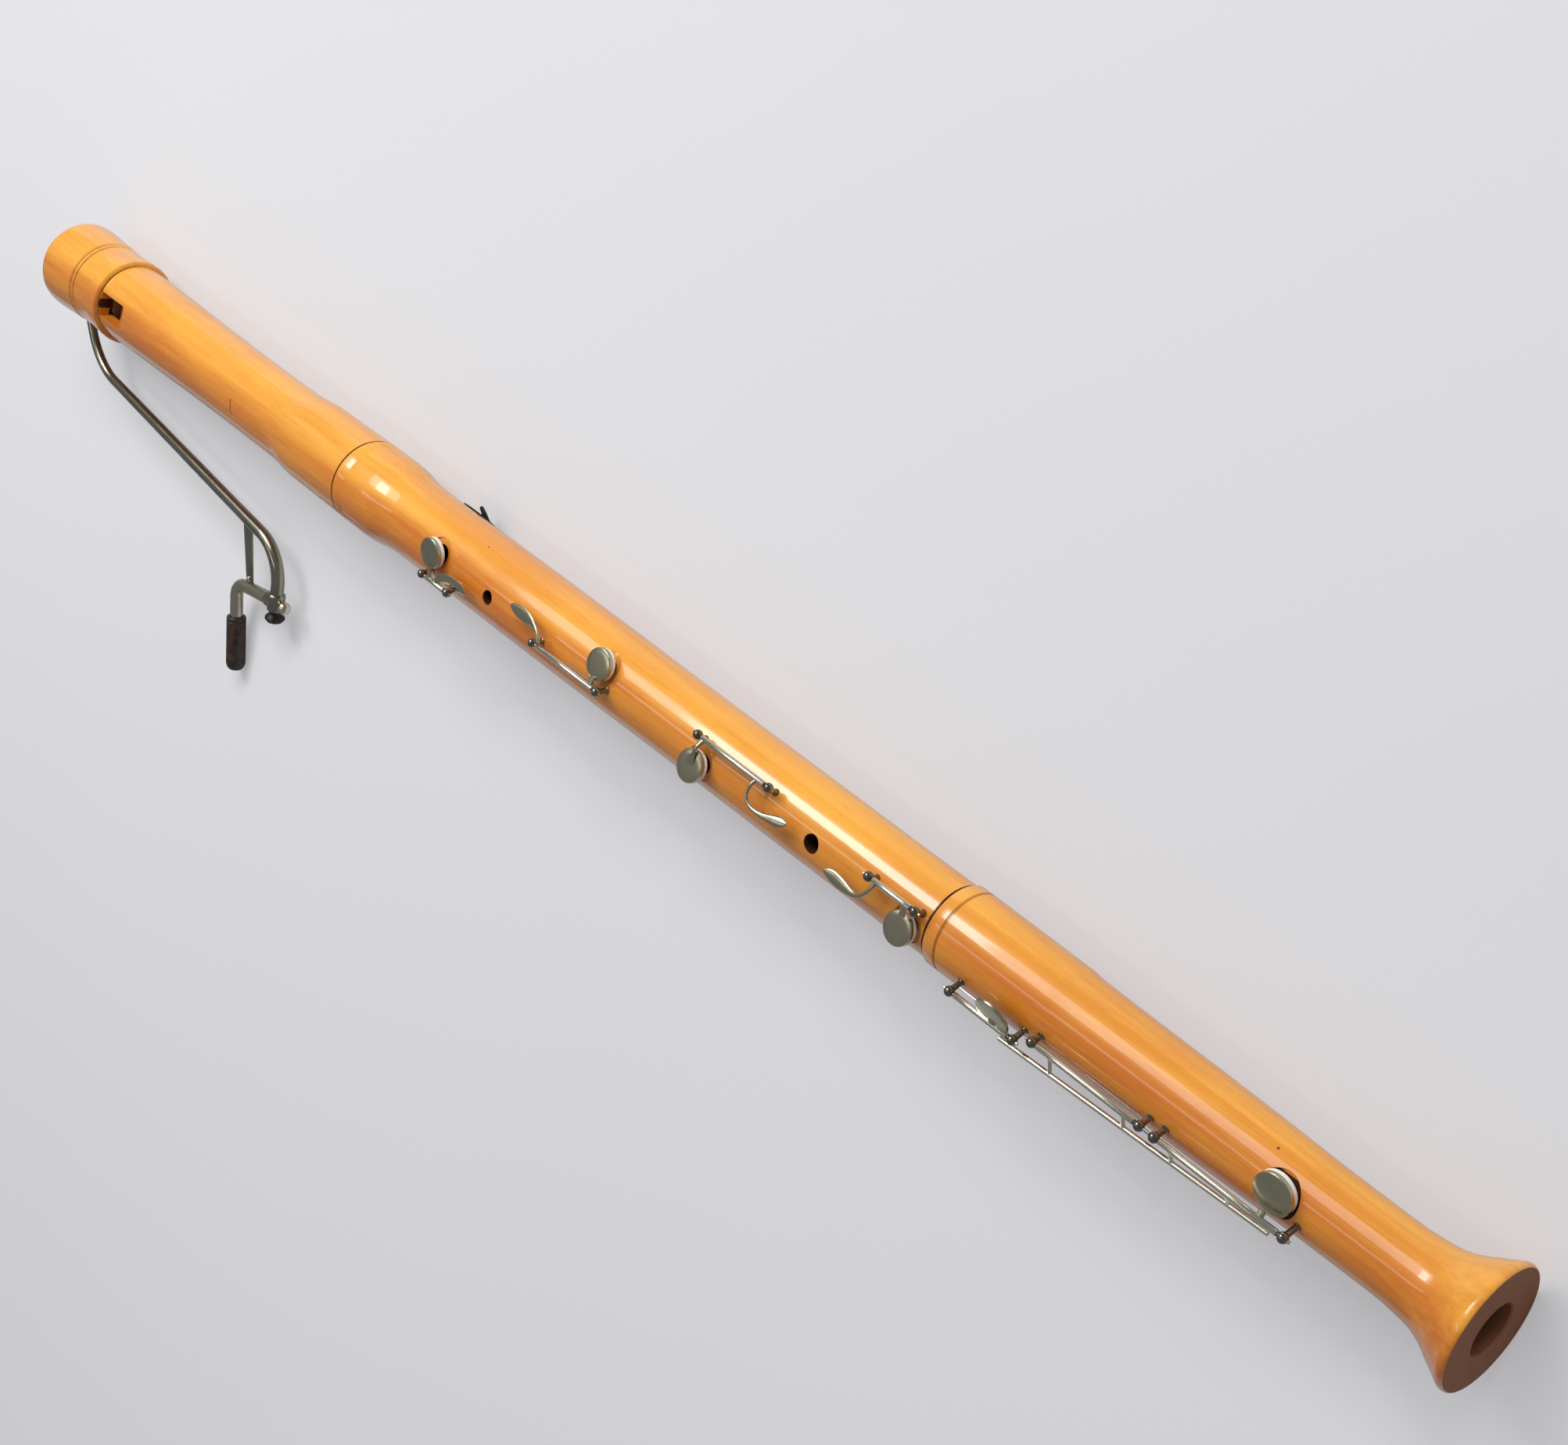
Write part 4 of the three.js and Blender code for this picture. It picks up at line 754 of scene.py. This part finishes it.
plate_outside = plate_inside + 0.75
past_low, past_high, past_plate = sling_x - 20, sling_x + 20, 40
spun(cutters, [(0, past_low), (plate_inside, past_low), (plate_inside, past_high), (0, past_high)],
     station(0) @ along_body, 144)
spun(cutters, [(plate_outside, past_low), (past_plate, past_low), (past_plate, past_high),
               (plate_outside, past_high)],
     station(0) @ along_body, 144, closed=True)
carve(oval_plate, cutters)
fit(oval_plate, blackened, "middle_body", "dark_metal", "sling_plate")
screw_reach = 10.5
for number, x in ((1, sling_x - screw_reach), (2, sling_x + screw_reach)):
    bm = bmesh.new()
    spun(bm, [(0, plate_inside - 4), (0.9, plate_inside - 4), (0.9, plate_inside - 0.3),
              (1.7, plate_outside - 0.1), (1.6, plate_outside + 0.1), (1.0, plate_outside + 0.2),
              (0, plate_outside + 0.25)],
         station(x, sling_angle), 20)
    screw = object_from(f"sunk_screw_{number}", bm)
    fit(screw, blackened, "middle_body", "dark_metal", f"sling_screw_{number}")


# Posts, pins and springs
# Ball-headed posts are screwed into the wood and carry the hinge pins, whose ends show as bright
# dots. A needle spring holds each key open.

key_metal = nickel_silver("key_nickel_silver", (0.62, 0.585, 0.41), 0.2, 0.5)
# Painted highlight: the hinge tubes and the long bar take a lighter copy of the keys' nickel silver.
lit_tube_metal = nickel_silver("lit_tube_nickel_silver", (0.85, 0.82, 0.68), 0.13, 0.25)
# Painted shade: the posts take a much darker copy of the nickel silver, standing in for dark reflections.
shaded_post_metal = nickel_silver("shaded_post_nickel_silver", (0.26, 0.24, 0.19), 0.1, 0.5)


def hinge_of(joint_name):
    """The angle and the distance from the axis of a key's hinge."""
    spot = next(joint for joint in frame["joints"] if joint["name"] == joint_name)["pos_m"]
    across, up = spot[1] - axis_y, spot[2] - axis_z
    return math.degrees(math.atan2(across, up)), math.hypot(across, up) / mm


def post_x(name):
    """A post's distance from the bell, in millimetres."""
    low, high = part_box(name)
    return ((low.x + high.x) / 2 - foot_low.x) / mm


def stand_post(name, surface, hinge, body):
    """One ball-headed post on its round foot."""
    angle, reach = hinge
    x = post_x(name)
    foot_r = radius_at(surface, x) + 0.1
    ball_r, flange_r, stem_r = 2.1, 1.6, 1.1
    ball = [(ball_r * math.sin(turn), reach - ball_r * math.cos(turn)) for turn in
            (math.radians(36 + 144 * step / 12) for step in range(12))]
    bm = bmesh.new()
    spun(bm, [(0, foot_r), (flange_r, foot_r), (flange_r, foot_r + 0.2), (1.3, foot_r + 0.4),
              (stem_r, foot_r + 0.9), (stem_r, foot_r + 1.8), *ball, (0, reach + ball_r)],
         station(x, angle), 28)
    fit(object_from(f"{name}_stand", bm), shaded_post_metal, body, "nickel_silver", name)


for key in key_cups:
    for end in ("lower", "upper"):
        stand_post(f"{key}_{end}_post", middle_surface, hinge_of(f"{key}_hinge"), "middle_body")
for end in ("lower", "upper"):
    stand_post(f"foot_touch_{end}_post", foot_surface, hinge_of("foot_touch_hinge"), "foot_body")
for end in ("lower", "lower_middle", "upper_middle", "upper"):
    stand_post(f"foot_cup_{end}_post", foot_surface, hinge_of("foot_cup_hinge"), "foot_body")
repaint(steel, *(name for name in frame["nodes"] if name.endswith(("_pin", "_spring"))))


# Keys of the middle joint
# Each key is a hinge tube with a forged arm to its cup and another to its finger plate, soldered
# together. The cup holds a thick pale leather pad. At rest the spring holds the key open.

pad_leather, place = new_finish("pad_leather")
skin = place.noise(1500, 4, 0.65)
coat_with(pad_leather, place, {
    "Base Color": skin.mix((0.72, 0.68, 0.6), (0.86, 0.84, 0.78)),
    "Roughness": 0.75,
    "Normal": skin.bump(0.2, 0.06 * mm),
})


def hinge_tube(bm, frame_at, start, end):
    """The tube that turns on the pin between two posts."""
    beside_post, tube_r, bore_r = 2.4, 1.25, 0.95
    low, high = start + beside_post, end - beside_post
    spun(bm, [(bore_r, low), (1.1, low), (tube_r, low + 0.2), (tube_r, high - 0.2), (1.1, high),
              (bore_r, high)],
         frame_at @ Matrix.Rotation(math.pi / 2, 4, "Y"), 24, closed=True)


def cup_disc(bm, frame_at, radius):
    """A thin round cup with a barely domed top. Heights are from the seat."""
    spun(bm, [(0, 2.9), (radius - 0.5, 2.9), (radius - 0.45, 2.3), (radius - 0.05, 2.3), (radius, 2.45),
              (radius, 3.75), (radius - 0.12, 4.0), (radius - 0.4, 4.14), (radius * 0.6, 4.25), (0, 4.3)],
         frame_at, 56)


def pad_disc(name, frame_at, radius, body):
    """The leather pad, which bulges out below the cup."""
    bm = bmesh.new()
    edge, inside = radius - 0.12, radius - 0.5
    spun(bm, [(0, 0.25), (edge - 0.6, 0.25), (edge - 0.15, 0.45), (edge, 0.9), (edge, 1.8),
              (edge - 0.12, 2.2), (inside, 2.28), (inside, 2.88), (0, 2.88)], frame_at, 56)
    fit(object_from(f"{name}_leather", bm), pad_leather, body, "pad_leather", name)


class Hinge:
    """One key's hinge, with the key turned open about it."""

    def __init__(self, joint_name, surface, opening):
        self.angle, self.reach = hinge_of(joint_name)
        self.surface = surface
        self.frame = station(0, self.angle, self.reach) @ Matrix.Rotation(math.radians(opening), 4, "X")

    def spot(self, x, angle, radius):
        """A place on the instrument as a point in the hinge's own frame."""
        turn = math.radians(angle - self.angle)
        return Vector((x, radius * math.sin(turn), radius * math.cos(turn) - self.reach))

    def seat(self, x, angle, radius):
        """The frame of a seat in the closed key, with +Z outwards."""
        turn = Matrix.Rotation(-math.radians(angle - self.angle), 4, "X")
        return self.frame @ Matrix.Translation(self.spot(x, angle, radius) * mm) @ turn

    def over_wood(self, x, y, clearance, *sizes):
        """A section of an arm, from its clearance over the wood when the key is closed."""
        out = radius_at(self.surface, x) + clearance
        return (x, y, math.sqrt(out**2 - y**2) - self.reach, *sizes)

    def on_cup(self, x, angle, seat, across, height):
        """A point above a cup's seat, in the hinge's own frame."""
        turn = math.radians(angle - self.angle)
        return self.spot(x, angle, seat + height) + across * Vector((0, math.cos(turn), -math.sin(turn)))

    def cup_arm(self, bm, arm_x, x, angle, seat, radius):
        """A short arm from the tube into the cup's near edge."""
        top, start = self.spot(x, angle, seat + 3.5), Vector((arm_x, 0, 0))
        near_edge = top.lerp(start, (radius - 1.5) / (top - start).length)
        line = [(*start, 1.5, 0.9), (*start.lerp(near_edge, 0.5), 1.4, 0.75), (*near_edge, 1.6, 0.6)]
        forge(bm, follow(line), self.frame, -self.reach)


# Each finger plate and its arm: distance from the bell, distance across from the hinge, clearance
# over the wood, half width and half thickness, in millimetres.
finger_plates = {
    "key_1": [(557.5, 0, 5.6, 1.2, 0.8), (557, -1.9, 4.9, 1.6, 0.75), (555, -3.7, 3.9, 2.3, 0.7),
              (551, -4.9, 3.2, 3.0, 0.6), (546, -5.3, 3, 3.3, 0.55), (541, -5.4, 3, 3.1, 0.5),
              (537.6, -5.4, 3.1, 2.3, 0.45), (535.6, -5.4, 3.2, 0.9, 0.35)],
    "key_3": [(479.6, 0, 5.6, 1.1, 0.8), (480, -2.2, 5.3, 0.9, 0.8), (481.5, -4.3, 4.7, 0.85, 0.75),
              (484, -5.9, 4.2, 1.05, 0.75), (488, -6.7, 3.6, 1.8, 0.65), (492, -7, 3.2, 2.6, 0.6),
              (497, -7.05, 3, 3, 0.55), (501, -7.15, 3, 2.5, 0.5), (503.6, -7.25, 3.1, 1.5, 0.45),
              (504.8, -7.3, 3.1, 0.5, 0.3)],
    "key_4": [(340.9, 0, 5.6, 0.95, 0.8), (341.5, 2.6, 5.5, 0.8, 0.8), (341.7, 5.2, 5, 0.8, 0.8),
              (340.6, 8, 4.3, 0.8, 0.8), (337.6, 9.5, 3.8, 0.85, 0.75), (334, 9.8, 3.5, 1, 0.75),
              (330, 9.4, 3.3, 1.35, 0.8), (326, 8.5, 3.2, 1.9, 0.85), (322.4, 7.6, 3.1, 2.2, 0.85),
              (319.8, 6.8, 3.1, 1.8, 0.75), (318.3, 6.3, 3.1, 0.7, 0.4)],
    "key_6": [(268.4, 0, 5.6, 0.95, 0.8), (268.6, 2.2, 5.4, 0.8, 0.75), (269.6, 4.8, 4.9, 0.8, 0.75),
              (271.6, 7.2, 4.2, 0.85, 0.7), (274.6, 8.6, 3.7, 1.1, 0.7), (278.6, 8.9, 3.3, 1.7, 0.65),
              (283.4, 8.6, 3.1, 2.3, 0.6), (288, 8.2, 3, 2.35, 0.55), (291.4, 8.1, 3.1, 1.6, 0.45),
              (293.2, 8.1, 3.2, 0.6, 0.35)],
}
# The hook over key 4's cup: distance from the bell, distance across the cup, height over its seat,
# half width and half thickness.
hook_arm = [(374.6, -8.4, 5.7, 0.95, 0.75), (375, -6.4, 5, 1.1, 0.6), (375.5, -4.2, 4.6, 1.7, 0.4),
            (375.8, -2, 4.4, 2.2, 0.25), (375.8, -0.6, 4.3, 1.5, 0.12)]
# Where the straight arms leave the tubes of the other keys, from the bell.
near_arms = {"key_1": 563.56, "key_3": 443.11, "key_6": 252.31}
key_opening, touch_opening, cup_opening = 15, 19, 14
for key, (cup_x, cup_angle, cup_radius, _) in key_cups.items():
    below = hinge_of(f"{key}_hinge")[0] < cup_angle
    hinge = Hinge(f"{key}_hinge", middle_surface, key_opening if below else -key_opening)
    cup_at = hinge.seat(cup_x, cup_angle, key_seats[key])
    bm = bmesh.new()
    cup_disc(bm, cup_at, cup_radius)
    if key in near_arms:
        hinge.cup_arm(bm, near_arms[key], cup_x, cup_angle, key_seats[key], cup_radius)
    else:
        hook = [(*hinge.on_cup(x, cup_angle, key_seats[key], across, height), *sizes)
                for x, across, height, *sizes in hook_arm]
        forge(bm, follow([(374, 0, 0, 1.2, 0.9), *hook]), hinge.frame, -hinge.reach)
    plate = [hinge.over_wood(*section) for section in finger_plates[key]]
    forge(bm, follow(plate), hinge.frame, -hinge.reach, 18)
    forged = object_from(f"{key}_forged_lever", bm)
    fit(forged, key_metal, f"{key}_body", "nickel_silver", f"{key}_lever", sharp=40)
    bm = bmesh.new()
    hinge_tube(bm, hinge.frame, post_x(f"{key}_lower_post"), post_x(f"{key}_upper_post"))
    fit(object_from(f"{key}_hinge_tube", bm), lit_tube_metal, f"{key}_body", "nickel_silver", sharp=40)
    pad_disc(f"{key}_pad", cup_at, cup_radius, f"{key}_body")


# Foot key
# The little finger presses the round plate. Its tongue lifts the long bar, and the bar turns the
# lever that carries the big cup.

hinge = Hinge("foot_touch_hinge", foot_surface, -touch_opening)
bm = bmesh.new()
plate_x, plate_angle = 198.53, 18
plate_r = radius_at(foot_surface, plate_x) + 5.2
spun(bm, [(0, -0.7), (7.7, -0.7), (8, -0.4), (8, 0.35), (7.8, 0.6), (7.2, 0.72), (4, 0.74), (0, 0.75)],
     hinge.seat(plate_x, plate_angle, plate_r), 56)
plate_spot = hinge.spot(plate_x, plate_angle, plate_r)
arm_start = Vector((plate_x, 0, 0))
forge(bm, [(*arm_start.lerp(plate_spot, share), 2.2, half_thick) for share, half_thick in
           ((0, 0.9), (0.5, 0.8), (1, 0.45))], hinge.frame, -hinge.reach)
slope = math.radians(8.6)
tongue_x = 193.92
tongue = [(tongue_x, step * math.cos(slope), -step * math.sin(slope), 2, 0.65)
          for step in (0, 3, 6, 9.2)]
forge(bm, tongue, hinge.frame, -hinge.reach)
touch = object_from("foot_touch_forged_lever", bm)
fit(touch, key_metal, "foot_touch_body", "nickel_silver", "foot_touch_lever", sharp=40)
bm = bmesh.new()
hinge_tube(bm, hinge.frame, post_x("foot_touch_lower_post"), post_x("foot_touch_upper_post"))
fit(object_from("foot_touch_hinge_tube", bm), lit_tube_metal, "foot_touch_body", "nickel_silver", sharp=40)

touch_reach, touch_angle = hinge.reach, hinge.angle
hinge = Hinge("foot_cup_hinge", foot_surface, -cup_opening)
cup_at = hinge.seat(*foot_cup[:2], foot_seat)
bm = bmesh.new()
cup_disc(bm, cup_at, foot_cup[2])
hinge.cup_arm(bm, foot_cup[0], *foot_cup[:2], foot_seat, foot_cup[2])
cup_lever = object_from("foot_cup_forged_lever", bm)
fit(cup_lever, key_metal, "foot_cup_body", "nickel_silver", "foot_cup_lever", sharp=40)
pad_disc("foot_key_pad", cup_at, foot_cup[2], "foot_cup_body")
# The bar lies on the tongue this far from the touch lever's hinge, with its middle this high.
on_tongue, above_tongue = 7, 2.13
contact_y = on_tongue * math.cos(slope)
contact_z = above_tongue - on_tongue * math.sin(slope)
contact = math.degrees(math.atan2(contact_y, touch_reach + contact_z))
bar_high = hinge.spot(196.95, touch_angle + contact, math.hypot(contact_y, touch_reach + contact_z))
bar_low = Vector((72.96, 5.9, -0.4))
bm = bmesh.new()
forge(bm, [(*bar_low.lerp(bar_high, share), 1.0, 1.0) for share in (0, 0.25, 0.5, 0.75, 1)],
      hinge.frame, -hinge.reach)
bar_arms = (90.05, 115.02, 136.96, 171.98)
for x in bar_arms:
    on_bar = bar_low.lerp(bar_high, (x - bar_low.x) / (bar_high.x - bar_low.x))
    forge(bm, [(x, on_bar.y * share, on_bar.z * share, 1, 0.55) for share in (0.05, 0.5, 0.95)],
          hinge.frame, -hinge.reach)
for low_post, high_post in (("lower", "lower_middle"), ("upper_middle", "upper")):
    hinge_tube(bm, hinge.frame, post_x(f"foot_cup_{low_post}_post"), post_x(f"foot_cup_{high_post}_post"))
fit(object_from("foot_long_bar", bm), lit_tube_metal, "foot_cup_body", "nickel_silver", sharp=40)


# Table, lights and camera
# A pale matt table, a broad soft window with one brighter pane, a side light that the lacquer does
# not mirror, a faint strip overhead, a dim room that the metal reflects, and a camera at the
# photograph's place.

table_finish, place = new_finish("pale_table")
cloth = place.noise(3, 2, 0.5).mix((0.7, 0.7, 0.72), (0.725, 0.725, 0.74))
mirrored = place.node("ShaderNodeLightPath", output="Is Glossy Ray") * 0.25
seen = place.node("ShaderNodeLightPath", output="Is Camera Ray") * 0.4
matt = place.node("ShaderNodeBsdfPrincipled", {}, {
    "Base Color": mirrored.mix(cloth, (0.05, 0.05, 0.05)),
    "Roughness": 0.9,
})
even = place.node("ShaderNodeEmission", {}, {"Color": (0.745, 0.745, 0.765), "Strength": 1.0})
mixed = place.node("ShaderNodeMixShader", {}, {0: seen, 1: matt, 2: even})
table_output = table_finish.node_tree.nodes.new("ShaderNodeOutputMaterial")
table_finish.node_tree.links.new(mixed.output, table_output.inputs["Surface"])
bm = bmesh.new()
table_half = 12
bmesh.ops.create_grid(bm, x_segments=1, y_segments=1, size=table_half)
table = object_from("table_top", bm)
table.data.materials.append(table_finish)
table.location = (0, 0, -0.05 * mm)


def soft_light(name, angle, x, distance, length, width, power, mirrored=True):
    """A long soft box that faces the instrument from one side of it."""
    lamp = bpy.data.lights.new(name, "AREA")
    lamp.shape = "RECTANGLE"
    lamp.size = length
    lamp.size_y = width
    lamp.energy = power
    light = bpy.data.objects.new(name, lamp)
    light.matrix_world = station(x, angle, distance)
    light.visible_glossy = mirrored
    bpy.context.scene.collection.objects.link(light)


soft_light("broad_window", -41, 1375, 1800, 1.75, 0.85, 13)
soft_light("bright_pane", -38, 1480, 1750, 0.6, 0.7, 11)
soft_light("side_light", -57, 450, 2500, 1.8, 0.6, 32, mirrored=False)
soft_light("ceiling_strip", -1, 1200, 1800, 2.2, 0.16, 2.5)

world = bpy.data.worlds.new("studio")
world.use_nodes = True
world.node_tree.nodes["Background"].inputs["Color"].default_value = (0.95, 0.95, 1, 1)
sky = Socket(world.node_tree, world.node_tree.nodes["Background"].outputs[0])
in_metal = sky.node("ShaderNodeLightPath", output="Is Glossy Ray")
far_off = sky.node("ShaderNodeLightPath", output="Is Camera Ray")
strength = in_metal * -0.12 + far_off * 0.38 + 0.32
world.node_tree.links.new(strength.output, world.node_tree.nodes["Background"].inputs["Strength"])
bpy.context.scene.world = world
bpy.context.scene.view_settings.view_transform = "Standard"

lens = bpy.data.cameras.new("photo_camera")
lens.sensor_width = 36
lens.lens = 54.008
camera = bpy.data.objects.new("photo_camera", lens)
right = Vector((-0.64182403, -0.27296537, -0.7166253))
up = Vector((0.46662896, -0.88059711, -0.08249941))
turn = Matrix((right, up, right.cross(up))).transposed().to_4x4()
camera.matrix_world = Matrix.Translation((-0.691314, -0.455236, 0.672069)) @ turn
bpy.context.scene.collection.objects.link(camera)
bpy.context.scene.camera = camera
